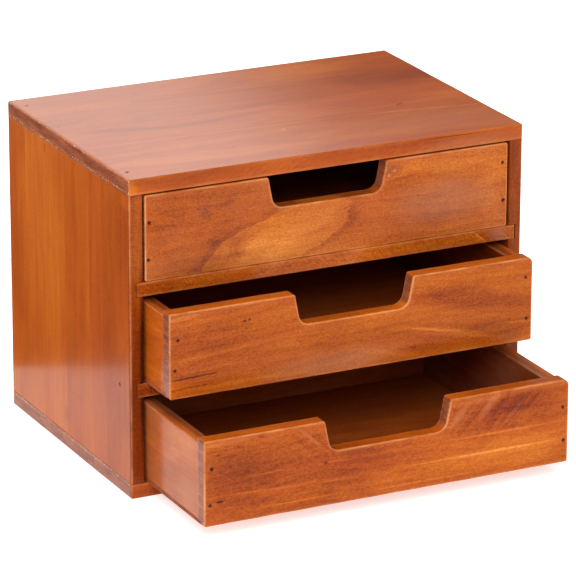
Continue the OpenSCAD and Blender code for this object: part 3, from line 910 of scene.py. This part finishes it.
def case_board(name, outward, seed, **look):
    """A board whose outer face is up (outward 1) or down (-1), with its stopped rebate at the back."""
    low, high = box_mm(name)
    inner = [lines(low[0], high[0], CELL, brad_xs, [-REBATE_X, REBATE_X]),
             lines(low[1], high[1], CELL, brad_ys, [REBATE_Y]), lines(low[2], high[2], THIN_CELL)]
    grids = rounded_box(low, high, TOP_EASE if outward > 0 else BOTTOM_EASE, inner, seed)
    rubbed = box_rubbed(grids, low, high)
    face, inner_face = (high[2], low[2]) if outward > 0 else (low[2], high[2])
    floor_z = inner_face + outward * REBATE_W
    cut_low, cut_high = sorted((inner_face - outward * PAST, floor_z))
    saw(grids, (-REBATE_X, REBATE_Y, cut_low), (REBATE_X, CASE_D / 2 + PAST, cut_high), 2, floor_z)
    sink_brads(grids, [(x, y, face) for x in brad_xs for y in brad_ys], 2, -outward, seed, BOARD_OPEN)
    return case_piece(name, grids, rubbed, face=("XY", face), shift=(seed * 31.0, 20, 155 + seed),
                      chips=0.9, **look)


case_board("top_board", 1, 1, strips=TOP_STRIPS, red=0.38, shade=0.53, rub=0.2, streak=0.05, cloud=0.12,
           fibre=0.06, pores=0.05, grit=0.16, ring_depth=0.03, marks=TOP_MARKS + TOP_EDGE_MARKS,
           hatches=[TOP_EDGE_GRAIN])
case_board("bottom_board", -1, 2, strips=BOTTOM_STRIPS, red=0.5, shade=0.48, rub=0.2)

# %% [markdown]
# ## Side panels
# The side is glued up from five upright strips: dull orange at the back, orange, brown, redder, and
# dark at the front. Its front edge shows the saw: fine lines across it, and a darker stain. A dark
# band towards the drawers is painted shade, where they shade the edge.

# %% Side panels
SIDE_STRIPS = ((0.0, 0.39, 0.45), (0.215, 0.44, 0.45), (0.325, 0.45, 0.3), (0.52, 0.51, 0.2),
               (0.85, 0.455, 0.3))
SHELF_BRAD_COUNT = 3
SIDE_OPEN = [1.0, 0.35, 0.0, 0.0, 0.0, 0.0]
shelf_brad_ys = np.linspace(-CASE_D / 2 + EDGE_BRAD_IN, CASE_D / 2 - EDGE_BRAD_IN, SHELF_BRAD_COUNT)
shelf_boxes = [box_mm("lower_shelf"), box_mm("upper_shelf")]
SIDE_MARKS = [
    patch((200, 60), (60, 40), outside=1.3, shade=0.05),
    patch((70, 40), (50, 60), outside=1.3, shade=-0.05),
    patch((190, -100), (70, 14), inside=0.3, shade=-0.04),
    mark((233, 42), (4, 2), shade=-0.08, red=0.4),
    mark((28, 6), (9, 6), inside=0.2, shade=-0.10),
    stripe((50, -18), (1.5, 24), shade=-0.06),
    patch((233, -108), (8, 10), inside=0.3, shade=0.10, red=-0.2),
]
OUTER_ARRIS = 3.0
LEFT_EASE, RIGHT_EASE = [(2, 0.6), (2, 2), (0.3, 0.3)], [(0.6, 2), (2, 2), (0.3, 0.3)]
SIDE_EDGE_MARKS_AND_SHADE = [
    # The first patch is painted shade: a dark band along the edge beside the drawers.
    patch((100, 153.5), (95, 5), shade=-0.32, red=0.3, **FRONT_EDGE),
    patch((120, 160), (200, 14), inside=0.9, shade=-0.20, red=-0.1, **FRONT_EDGE),
    patch((200, 159), (60, 9), shade=0.14, red=-0.3, **FRONT_EDGE),
]
SIDE_EDGE_SAW = hatch((125, 160), (210, 12), (12, 0.8), 90, 0.14, **FRONT_EDGE)


def side_panel(name, outward, seed, **look):
    """A side panel with its two shelf grooves, its back rebate and the brads driven into the shelves."""
    low, high = box_mm(name)
    cuts = [z for shelf in shelf_boxes for z in (shelf[0][2], shelf[1][2] + GROOVE_PLAY)]
    middles = [(shelf[0][2] + shelf[1][2]) / 2 for shelf in shelf_boxes]
    inner = [lines(low[0], high[0], THIN_CELL), lines(low[1], high[1], CELL, shelf_brad_ys, [REBATE_Y]),
             lines(low[2], high[2], CELL, middles, cuts)]
    grids = rounded_box(low, high, LEFT_EASE if outward < 0 else RIGHT_EASE, inner, seed)
    rubbed = box_rubbed(grids, low, high, axes=(0, 1))
    rubbed = [share * (np.abs(points[..., 0]) > CASE_W / 2 - OUTER_ARRIS)
              for share, points in zip(rubbed, grids)]
    outer_face, inner_face = (low[0], high[0]) if outward < 0 else (high[0], low[0])
    floor_x = inner_face + outward * GROOVE_D
    cut_low, cut_high = sorted((inner_face - outward * PAST, floor_x))
    for shelf in shelf_boxes:
        saw(grids, (cut_low, -CASE_D, shelf[0][2]), (cut_high, CASE_D, shelf[1][2] + GROOVE_PLAY), 0, floor_x)
    saw(grids, (cut_low, REBATE_Y, 0), (cut_high, CASE_D, high[2] + PAST), 0, floor_x)
    places = [(outer_face, y, z) for y in shelf_brad_ys for z in middles]
    sink_brads(grids, places, 0, -outward, seed, SIDE_OPEN)
    return case_piece(name, grids, rubbed, grain="Z", face=("XY", -outer_face), strips=SIDE_STRIPS,
                      shift=(seed * 47.0, 25, 160 + 5 * seed), cloud=0.12, grit=0.16, fibre=0.06,
                      pores=0.04, ring_depth=0.02, coat=0.85, **look)


side_panel("left_side", -1, 3, marks=SIDE_MARKS + SIDE_EDGE_MARKS_AND_SHADE, hatches=[SIDE_EDGE_SAW], shade=0.55)
side_panel("right_side", 1, 8, shade=0.41, red=0.1, rub=0.4)

# %% [markdown]
# ## Shelves
# The shelves' front edges were left from the saw: short lines slant across them, about three
# millimetres apart. The upper shelf is pieced out at its right end with a slanting joint, and the
# small piece is browner.

# %% Shelves
SHELF_SAW = hatch((0, 0), (400, 400), (14, 1.3), -50, 0.2)
SHELF_EASE = [(0.2, 0.2), (0.9, 0.3), (0.9, 0.9)]
SCARF_HALF = 100
SCARF_X, SCARF_Z = 135.2, 160.7
SCARF_LEAN = -1.253
UPPER_STRIPS = ((0.0, 0.52, 0.4), (0.5, 0.44, 0.5))
SCARF_MIDDLE = SCARF_X - SCARF_LEAN * SCARF_Z
SCARF_SPAN = (SCARF_MIDDLE - SCARF_HALF, SCARF_MIDDLE + SCARF_HALF)


def shelf(name, seed, **look):
    """A shelf board with eased front edges, housed in the side panels."""
    low, high = box_mm(name)
    inner = [lines(low[0], high[0], CELL), lines(low[1], high[1], CELL), lines(low[2], high[2], THIN_CELL)]
    grids = rounded_box(low, high, SHELF_EASE, inner, seed)
    rubbed = box_rubbed(grids, low, high, axes=(1, 2))
    return case_piece(name, grids, rubbed, face=("XZ", low[1]), shift=(seed * 53.0, 30, 140),
                      hatches=(SHELF_SAW,), grit=0.34, rub=0.35, **look)


UPPER_MARKS = [mark((129.8, 164.4), (7, 0.5), tilt=-38.6, deep=8, shade=0.2),
               patch((145, 165), (9, 6), haze=0.3), patch((-150, 165), (34, 9), shade=-0.12, red=0.3)]
LOWER_MARKS = [patch((-155, 86), (26, 9), inside=0.3, shade=-0.12, red=0.3)]
shelf("upper_shelf", 5, strips=UPPER_STRIPS, strip_span=SCARF_SPAN, strip_axis="X", strip_lean=SCARF_LEAN,
      strip_wander=0.0, marks=UPPER_MARKS)
shelf("lower_shelf", 6, shade=0.44, marks=LOWER_MARKS)

# %% [markdown]
# ## The outline of a drawer front
# A front is sawn from one board: its top edge dips into a finger cut-out with rounded corners, and
# two of the fronts have a rubbed right corner. The outline is a short list of corners, each with
# its radius. Between corners it runs straight, and at a corner its heading turns evenly.

# %% The cut-outs
GRIP_DEPTH = 24.5
GRIP_LEAN = math.radians(11)
GRIP_R = 9.0
LIP_R = 2.0
RUBBED_R = 5.0
EASE_R = 1.2
INSET = 1.6
ARC_CHORD = 0.5


def leftward(angle):
    """The direction to the left of each heading, which points out of the board on its top edge."""
    return np.stack([-np.sin(angle), np.cos(angle)], axis=-1)


def straight(start, end, step, brads):
    """Points between two corners: on grid lines where the run is level, or else a millimetre apart."""
    if abs(end[1] - start[1]) < 1e-6:
        along = lines(start[0], end[0], step, brads)[1:-1]
        return np.stack([along, np.full(len(along), start[1])], axis=-1)
    count = max(3, round(np.linalg.norm(end - start)))
    return start + np.linspace(0, 1, count)[1:-1, None] * (end - start)


def top_chain(corners, step, brads):
    """Points and outward directions along the top edge, from left to right. At a corner of radius r the
    point is centre +- r leftward(heading), and the centre lies r from both runs."""
    corners = np.array(corners, float)
    flat, radii = corners[:, :2], corners[:, 2]
    runs = np.diff(flat, axis=0)
    headings = np.arctan2(runs[:, 1], runs[:, 0])
    turns = (np.diff(headings) + math.pi) % (2 * math.pi) - math.pi
    reach = radii[1:-1] * np.tan(np.abs(turns) / 2)
    ways = runs / np.linalg.norm(runs, axis=1, keepdims=True)
    points, outward = [], []
    for i, (corner, r, turn_by) in enumerate(zip(flat[1:-1], radii[1:-1], turns)):
        angles = headings[i] + np.linspace(0, turn_by, max(5, int(abs(turn_by) * r / ARC_CHORD)))
        side = np.sign(turn_by)
        centre = corner - ways[i] * reach[i] + side * r * leftward(headings[i])
        arc = centre - side * r * leftward(angles)
        points.append(arc)
        outward.append(leftward(angles))
        if i + 1 < len(turns):
            run = straight(arc[-1], corners[i + 2, :2] - ways[i + 1] * reach[i + 1], step, brads)
            points.append(run)
            outward.append(np.tile(leftward(headings[i + 1]), (len(run), 1)))
    return np.concatenate(points), np.concatenate(outward)


def front_corners(low, high, drawer):
    """The outline's corners from the lower left over the cut-out to the lower right: x, z, radius."""
    (u0, _, v0), (u1, _, v1) = low, high
    mouth, middle, dip = drawer["mouth"] / 2, drawer["middle"], v1 - GRIP_DEPTH
    floor = mouth - GRIP_DEPTH * math.tan(GRIP_LEAN)
    return [(u0, v0, 0), (u0, v1, INSET),
            (middle - mouth, v1, LIP_R), (middle - floor, dip, GRIP_R),
            (middle + floor, dip, GRIP_R), (middle + mouth, v1, LIP_R),
            (u1, v1, drawer["corner_r"]), (u1, v0, 0)]


print("a cut-out is", GRIP_DEPTH, "mm deep with corners of", GRIP_R, "mm")

# %% [markdown]
# ## The face and the rim
# The face is a grid that hangs from the outline like a curtain: each column runs from a point of the
# top edge down to the base. Round it goes the rim, a section of easing, edge and easing that is
# carried along the closed outline.

# %% Face and rim
EASING_STEPS = 7
FAN_STEPS = 6
PLY_LAP = 6.0
PLY_T = 3.0
FACE_CELL = 5.0
EDGE_MARGIN = 2.0
RIM_WAVE = 45
RIM_LEAST, RIM_SPREAD = 0.75, 0.35
RIM_RUB_DEPTH, RIM_RUB_REACH = 0.35 * EASE_R, 0.8


def closed_loop(hang, outward, face_u, face_v, base):
    """The face's border as one closed line with its outward directions. At the two lower corners the
    point stands still while the direction turns by a quarter, which rounds the corner."""
    fan = np.linspace(-math.pi / 2, 0, FAN_STEPS)
    count, rows = len(hang), len(face_v)
    fan_right = np.stack([np.cos(fan), np.sin(fan)], -1)
    fan_left = np.stack([-np.cos(fan[::-1]), np.sin(fan[::-1])], -1)
    loop = [np.stack([hang[:, 0], np.full(count, base)], -1), np.tile((hang[-1, 0], base), (FAN_STEPS, 1)),
            np.stack([face_u[:, -1], face_v[:, -1]], -1), hang[::-1],
            np.stack([face_u[::-1, 0], face_v[::-1, 0]], -1), np.tile((hang[0, 0], base), (FAN_STEPS, 1))]
    ways = [np.tile((0, -1), (count, 1)), fan_right, np.tile((1, 0), (rows, 1)),
            outward[::-1], np.tile((-1, 0), (rows, 1)), fan_left]
    loop, ways = np.concatenate(loop), np.concatenate(ways).astype(float)
    return np.concatenate([loop, loop[:1]]), np.concatenate([ways, ways[:1]])


def rim_section(ease, thick, flat_lines):
    """How far in from the outline and how deep each point of the section is: a quarter circle of radius
    ease, ease (1 - sin t, 1 - cos t), then the flat edge, then the same quarter circle mirrored."""
    bend = np.linspace(0, math.pi / 2, EASING_STEPS)
    arc_in, arc_deep = ease[:, None] * (1 - np.sin(bend)), ease[:, None] * (1 - np.cos(bend))
    ends = np.full((len(ease), 1), INSET)
    flat = np.tile(flat_lines, (len(ease), 1))
    inset = np.concatenate([ends, arc_in, 0 * flat, arc_in[:, ::-1], ends], axis=1)
    depth = np.concatenate([0 * ends, arc_deep, flat, thick - arc_deep[:, ::-1], 0 * ends + thick], axis=1)
    return inset, depth


def front_grids(low, high, drawer, brads, seed):
    """The face, the back and the rim of a drawer front, as grids of points (x, y, z)."""
    thick = high[1] - low[1]
    edge, outward = top_chain(front_corners(low, high, drawer), FACE_CELL, [b[0] for b in brads])
    hang, base, top = edge - INSET * outward, low[2] + INSET, high[2] - INSET
    rows = lines(base, top, FACE_CELL, [b[2] for b in brads], [low[2] + PLY_T])
    share = (rows - base) / (top - base)
    face_u = np.tile(hang[:, 0], (len(share), 1))
    face_v = base + share[:, None] * (hang[None, :, 1] - base)
    loop, ways = closed_loop(hang, outward, face_u, face_v, base)
    outer = loop + INSET * ways
    wander = ripple(np.column_stack([outer, np.zeros(len(outer))]), seed, RIM_WAVE)
    flat_lines = lines(EDGE_MARGIN, thick - EDGE_MARGIN, THIN_CELL, (), [thick - PLY_LAP])
    inset, depth = rim_section(EASE_R * (RIM_LEAST + RIM_SPREAD * wander), thick, flat_lines)
    rim = loop[:, None, :] + ways[:, None, :] * (INSET - inset)[..., None]
    rim = np.stack([rim[..., 0], low[1] + depth, rim[..., 1]], axis=-1)
    face = np.stack([face_u, np.full_like(face_u, low[1]), face_v], axis=-1)
    back = np.stack([face_u, np.full_like(face_u, high[1]), face_v], axis=-1)
    from_arris = np.hypot(inset - RIM_RUB_DEPTH, np.minimum(depth, thick - depth) - RIM_RUB_DEPTH)
    rim_rubbed = np.exp(-((from_arris / RIM_RUB_REACH) ** 2))
    face_rubbed = np.zeros(face_u.shape)
    face_rubbed[[0, -1], :] = face_rubbed[:, [0, -1]] = rim_rubbed[:, 0].mean()
    return [face, back, rim], [face_rubbed, face_rubbed.copy(), rim_rubbed]


print("the rim is carried along in", 2 * EASING_STEPS, "easing steps and a flat edge")

# %% [markdown]
# ## The three fronts
# Each front was sawn from another part of a tree, so each has its own marks, found in the picture.
# The top one is brown and grainy at the left, with a ragged-edged orange field where the saw cut a
# growth ring flat. The middle one has a dark sweep and pale streaks at the right. The bottom one
# shimmers in slanted lines beside its cut-out, and carries long pale lines.

# %% Marks on the fronts
TOP_FRONT = {
    "shift": (130, 12, -190), "shade": 0.55, "red": 0.25, "haze": 0.10, "grit": 0.34, "pores": 0.16,
    "marks": [
        patch((-110, 205), (55, 60), inside=0.3, shade=-0.11, red=0.2),
        mark((-45, 187), (73, 24), tilt=18, ragged=0.2, inside=0.98, outside=1.12, shade=-0.08),
        mark((-45, 187), (68, 21.5), tilt=18, ragged=0.2, inside=0.96, outside=1.0, shade=0.14, red=-0.3),
        mark((-50, 185), (62, 19), tilt=18, ragged=0.3, inside=0.2, outside=1.0, shade=0.12, red=-0.3),
        patch((-30, 182), (75, 20), shade=0.07, red=-0.2),
        mark((-77, 186), (9, 9), inside=0.4, ragged=0.4, shade=-0.12, red=0.2),
        mark((-103, 219), (8, 9), inside=0.2, shade=-0.10, haze=0.05),
        mark((-83, 224), (9, 6), inside=0.2, shade=-0.07),
        mark((-97, 193), (9, 7), inside=0.2, shade=-0.08),
        patch((100, 200), (52, 20), haze=0.30, shade=-0.02),
        patch((95, 228), (55, 8), shade=0.07, red=-0.3),
        patch((138, 200), (14, 30), shade=0.06, red=-0.2),
        mark((53, 228), (10, 5), tilt=25, ragged=0.6, inside=0.5, shade=-0.12, haze=0.1),
        mark((50, 225.5), (1.8, 1.1), tilt=55, ragged=0.9, shade=0.25, haze=0.2),
        mark((54.5, 228.5), (1.6, 1.0), tilt=20, ragged=0.9, shade=0.25, haze=0.2),
        mark((62, 222), (14, 1.5), tilt=8, shade=-0.10),
        mark((15, 200), (14, 12), inside=0.2, shade=-0.06, red=0.2),
    ]}
MIDDLE_FRONT = {
    "shift": (420, 18, -60), "shade": 0.52, "red": 0.25, "grit": 0.30,
    "marks": [
        patch((-125, 130), (50, 40), red=0.15, shade=-0.05),
        patch((105, 131), (66, 10), tilt=-12, inside=0.3, shade=-0.13, red=0.3),
        patch((60, 108), (60, 14), tilt=-10, shade=-0.04),
        mark((80, 110.5), (38, 2.6), tilt=-13, inside=0.1, shade=0.18, red=-0.2),
        mark((90, 105.5), (40, 1.8), tilt=-10, inside=0.1, shade=0.15, red=-0.2),
        mark((58, 115), (28, 1.8), tilt=-14, inside=0.1, shade=0.12),
        mark((105, 101.5), (30, 1.6), tilt=-8, inside=0.1, shade=0.12),
        stripe((136, 108.5), (18, 1.3), tilt=-4, shade=0.13),
        stripe((30, 100), (40, 3), tilt=-14, shade=0.09),
        stripe((44, 117), (24, 1.5), tilt=-8, shade=0.10),
        stripe((-115, 122.5), (44, 2.2), tilt=4, shade=0.11),
        stripe((-118, 112), (36, 1.9), tilt=2, shade=0.09),
        stripe((-90, 97), (55, 3), shade=0.09),
        stripe((-112, 135), (20, 1.8), shade=0.09),
        mark((-132, 107), (20, 0.9), tilt=2, ragged=0.4, shade=-0.22),
        mark((-140, 99), (24, 0.8), tilt=2, ragged=0.4, shade=-0.14),
        mark((-141, 154), (14, 1.8), tilt=6, ragged=0.4, shade=0.12, haze=0.15),
        patch((-10, 100), (62, 12), haze=0.25, shade=0.03),
        mark((-91, 144.2), (1.7, 1.1), shade=-0.28), mark((-87, 144.9), (1.2, 0.9), shade=-0.3),
        mark((50, 101.3), (2.6, 1.6), shade=-0.05, red=0.4),
        patch((125, 104), (40, 14), shade=-0.12),
        patch((100, 150), (50, 6), shade=0.05),
    ],
    "hatches": [
        hatch((-5, 122), (26, 8), (14, 1.2), 40, 0.18), hatch((95, 143), (60, 12), (12, 1.0), 38, 0.22),
        hatch((-115, 125), (45, 20), (16, 1.1), 22, 0.16)]}
BOTTOM_FRONT = {
    "shift": (760, 15, 20), "shade": 0.50, "red": 0.30,
    "marks": [
        patch((-70, 45), (95, 34), shade=-0.13, red=0.15),
        patch((-125, 48), (34, 28), shade=-0.09, red=0.1),
        patch((93, 61), (60, 20), inside=0.3, shade=-0.12, red=0.15),
        mark((58, 64), (13, 5), tilt=48, inside=0.2, shade=0.07, haze=0.22),
        mark((84, 69), (16, 4), tilt=46, inside=0.2, shade=0.08, haze=0.18),
        mark((104, 60), (15, 2.5), tilt=45, inside=0.2, shade=0.07, haze=0.10),
        mark((121, 67), (13, 2.2), tilt=44, inside=0.2, shade=-0.05),
        patch((105, 28), (75, 20), shade=0.12, red=-0.3),
        patch((-20, 20), (90, 9), shade=0.05),
        stripe((75, 74), (26, 3.4), haze=0.10, shade=0.09),
        stripe((-135, 75.5), (22, 2.2), tilt=2, ragged=0.4, haze=0.12, shade=0.11),
        stripe((-66, 68), (14, 2.2), tilt=-42, ragged=0.4, haze=0.10, shade=0.10),
        stripe((95, 46.3), (62, 1.2), shade=0.15), stripe((-100, 46.6), (26, 0.9), shade=0.09),
        stripe((-45, 46.4), (20, 0.9), shade=0.11),
        stripe((85, 31.8), (75, 1.5), shade=0.22), stripe((-105, 33.6), (46, 1.1), tilt=-2, shade=0.13),
        stripe((-48, 31.4), (14, 1.0), shade=0.12),
        stripe((-72, 20.3), (42, 1.0), shade=0.13), stripe((30, 17.8), (65, 1.1), shade=0.13),
        mark((-141, 67), (1.5, 1.0), shade=-0.16, red=0.4),
        mark((-124.5, 71), (1.6, 1.2), shade=-0.09, red=0.5),
        mark((-53.5, 46.2), (1.7, 1.3), shade=-0.2, red=0.5), mark((-140, 30.4), (3.0, 1.0), shade=-0.35),
        mark((-106, 76.5), (3.0, 1.6), shade=-0.07, red=0.3),
        mark((-135, 45), (20, 30), inside=0.2, shade=-0.03),
        patch((98, 64), (36, 11), tilt=20, shade=-0.03, red=0.35),
    ],
    "hatches": [
        hatch((90, 61), (58, 19), (42, 3.6), 47, 0.23), hatch((-66, 62), (24, 15), (24, 2.4), -42, 0.22)]}
print("marks:", [len(front["marks"]) for front in (TOP_FRONT, MIDDLE_FRONT, BOTTOM_FRONT)])

# %% [markdown]
# ## Making the fronts
# Four brads hold each front on its drawer's sides. Whoever drove them wandered by a few
# millimetres, and their places follow the frame's. The holes show as dark dots. A step at the lower
# back edge takes the plywood bottom.

# %% Drawer fronts
LOW_BRAD_Z = 18.0
HIGH_BRAD_DROP = 20.0
BRAD_ROOM = 4.3
DRAWERS = {
    "top": {"mouth": 99.0, "middle": -1.4, "corner_r": INSET, "wander": (-1.5, -1.5, 3.0, 4.5),
            "drift": (0.7, 0.51, 0.63, 0.37), "look": TOP_FRONT},
    "middle": {"mouth": 99.0, "middle": 0.2, "corner_r": RUBBED_R, "wander": (4.5, -1.0, 0.0, 4.5),
               "drift": (0.37, -0.26, 0.3, 0.05), "look": MIDDLE_FRONT},
    "bottom": {"mouth": 105.0, "middle": -1.2, "corner_r": RUBBED_R, "wander": (-1.5, -2.0, 0.0, -2.0),
               "drift": (0.3, -0.05, 0.53, 0.28), "look": BOTTOM_FRONT},
}


def front_brads(low, high, drawer):
    """The four brads' places: left low, left high, right low, right high."""
    heights = (low[2] + LOW_BRAD_Z, high[2] - HIGH_BRAD_DROP)
    corners = [(side, k) for side in (-1, 1) for k in (0, 1)]
    return [(side * (WALL_X + BRAD_ROOM * drift), low[1], heights[k] + wander)
            for (side, k), drift, wander in zip(corners, drawer["drift"], drawer["wander"])]


def drawer_front(kind, seed):
    """A front with its cut-out, its brad holes and the step for the plywood bottom."""
    drawer, name = DRAWERS[kind], kind + "_drawer_front"
    low, high = box_mm(name)
    brads = front_brads(low, high, drawer)
    grids, rubbed = front_grids(low, high, drawer, brads, seed)
    step_low = (low[0] - PAST, high[1] - PLY_LAP, low[2] - PAST)
    step_high = (high[0] + PAST, high[1] + PAST, low[2] + PLY_T)
    saw(grids, step_low, step_high, 2, low[2] + PLY_T)
    sink_brads(grids, brads, 1, 1, seed)
    wood = stained_wood(name + "_wood", face=("XZ", low[1]), chips=0.6, **drawer["look"])
    return make_piece(name + "_sawn", grids, rubbed, kind + "_drawer", name, wood)


for number, kind in enumerate(DRAWERS):
    drawer_front(kind, 11 + number)

# %% [markdown]
# ## Drawer sides and backs
# The box behind each front is plainer wood with its grain along the drawer. Its insides are darker
# than the outsides: painted shade, for the shade that falls inside the case. The bottom drawer stands
# out far enough to show marks on its left side, and they lie round a plane just off the wall's outer
# face. The pale pinkish one low down is a painted reflection of the floor.

# %% Drawer sides and backs
WALL_EASE = [(0.8, 0.8), (0.2, 0.2), (0.2, 1.2)]
BACK_EASE = [(0.2, 0.2), (0.8, 0.8), (0.2, 1.2)]
WALL_LOOKS = {"top": {"shade": 0.50}, "middle": {"shade": 0.50, "red": 0.45},
              "bottom": {"shade": 0.53, "haze": 0.3}}
# Painted shade: the faces inside a drawer are darkened, for the shade that falls inside the case.
INSIDE_PAINTED_SHADE = -0.28
BACK_PAINTED_SHADE = -0.02
MARKS_OFF = 0.5
OUTSIDE_X = round(WALL_X + WALL_T / 2 + MARKS_OFF, 1)
OUTSIDE = {"face": ("XZ", OUTSIDE_X), "deep": 4}
OUTSIDE_MARKS_AND_REFLECTION = {"bottom_drawer_left": [
    patch((-160, 52), (46, 6), tilt=-24, shade=0.07, **OUTSIDE),
    # Painted reflection: this pale pinkish patch low on the wall stands for the floor mirrored in the
    # varnish.
    patch((-188, 28), (26, 16), outside=1.3, shade=0.06, haze=0.15, **OUTSIDE),
    patch((-150, 32), (34, 5), tilt=-20, shade=-0.06, **OUTSIDE),
    patch((-128, 62), (16, 12), outside=1.3, shade=-0.08, **OUTSIDE),
]}
TOP_EDGE = 4.0


def drawer_wall(kind, part, seed):
    """A side, or the back, of a drawer box, with painted shade that darkens the face looking into the drawer.
    """
    name, is_back = f"{kind}_drawer_{part}", part == "back"
    low, high = box_mm(name)
    grids = rounded_box(low, high, BACK_EASE if is_back else WALL_EASE,
                        [lines(low[a], high[a], CELL) for a in range(3)], seed)
    rubbed = box_rubbed(grids, low, high, axes=(1, 2) if is_back else (0, 2))
    rubbed = [share * (points[..., 2] > high[2] - TOP_EDGE) for share, points in zip(rubbed, grids)]
    middle = (low + high) / 2
    inner_face = low[1] if is_back else -high[0] if part == "left" else -low[0]
    # Painted shade on the inner face of each side and back.
    inside = mark((middle[0] if is_back else middle[1], middle[2]), (400, 200), deep=7, inside=0.5,
                  ragged=0.1, shade=BACK_PAINTED_SHADE if is_back else INSIDE_PAINTED_SHADE)
    wood = stained_wood(name + "_wood", grain="X" if is_back else "Y", face=("XZ", inner_face),
                        marks=[inside] + OUTSIDE_MARKS_AND_REFLECTION.get(name, []), grit=0.16, rub=0.35,
                        shift=(seed * 61.0, 20 + seed, 140), **WALL_LOOKS[kind])
    return make_piece(name + "_planed", grids, rubbed, kind + "_drawer", name, wood)


for number, kind in enumerate(DRAWERS):
    drawer_wall(kind, "left", 21 + number)
    drawer_wall(kind, "right", 31 + number)
    drawer_wall(kind, "back", 41 + number)

# %% [markdown]
# ## Plywood and brads
# The back panel, the drawers' bottoms and the brads have the right shape in the frame already, so
# they only get a finish: dull stained plywood, and dark, slightly rusted steel.

# %% Plywood and brads
plywood = stained_wood("stained_plywood", shade=0.50, red=0.55, haze=0.15, cloud=0.12, ring_depth=0.02,
                       rub=0.0, coat=0.2, roughness=0.55)
BLACKENED, RUSTED = (0.012, 0.009, 0.008, 1), (0.05, 0.03, 0.02, 1)


def dark_steel():
    """Blackened steel with fine rust: one noise drives both the colour and the roughness."""
    material, w = new_material("dark_steel")
    rust = w.noise(w.here(), scale=1400, detail=3)
    w.finish(w.add("ShaderNodeBsdfPrincipled", {
        "Base Color": w.mix(rust, BLACKENED, RUSTED), "Metallic": 0.7,
        "Roughness": w.fit(rust, 0, 1, 0.45, 0.8)}))
    return material


def finish_nodes(nodes, material):
    """Gives the frame's own nodes one finish."""
    for node in nodes:
        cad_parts[node].data.materials.clear()
        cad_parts[node].data.materials.append(material)
    print(material.name, "on", len(nodes), "nodes")


finish_nodes(["back_panel"] + [kind + "_drawer_bottom" for kind in DRAWERS], plywood)
finish_nodes([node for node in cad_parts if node.endswith("brads")], dark_steel())
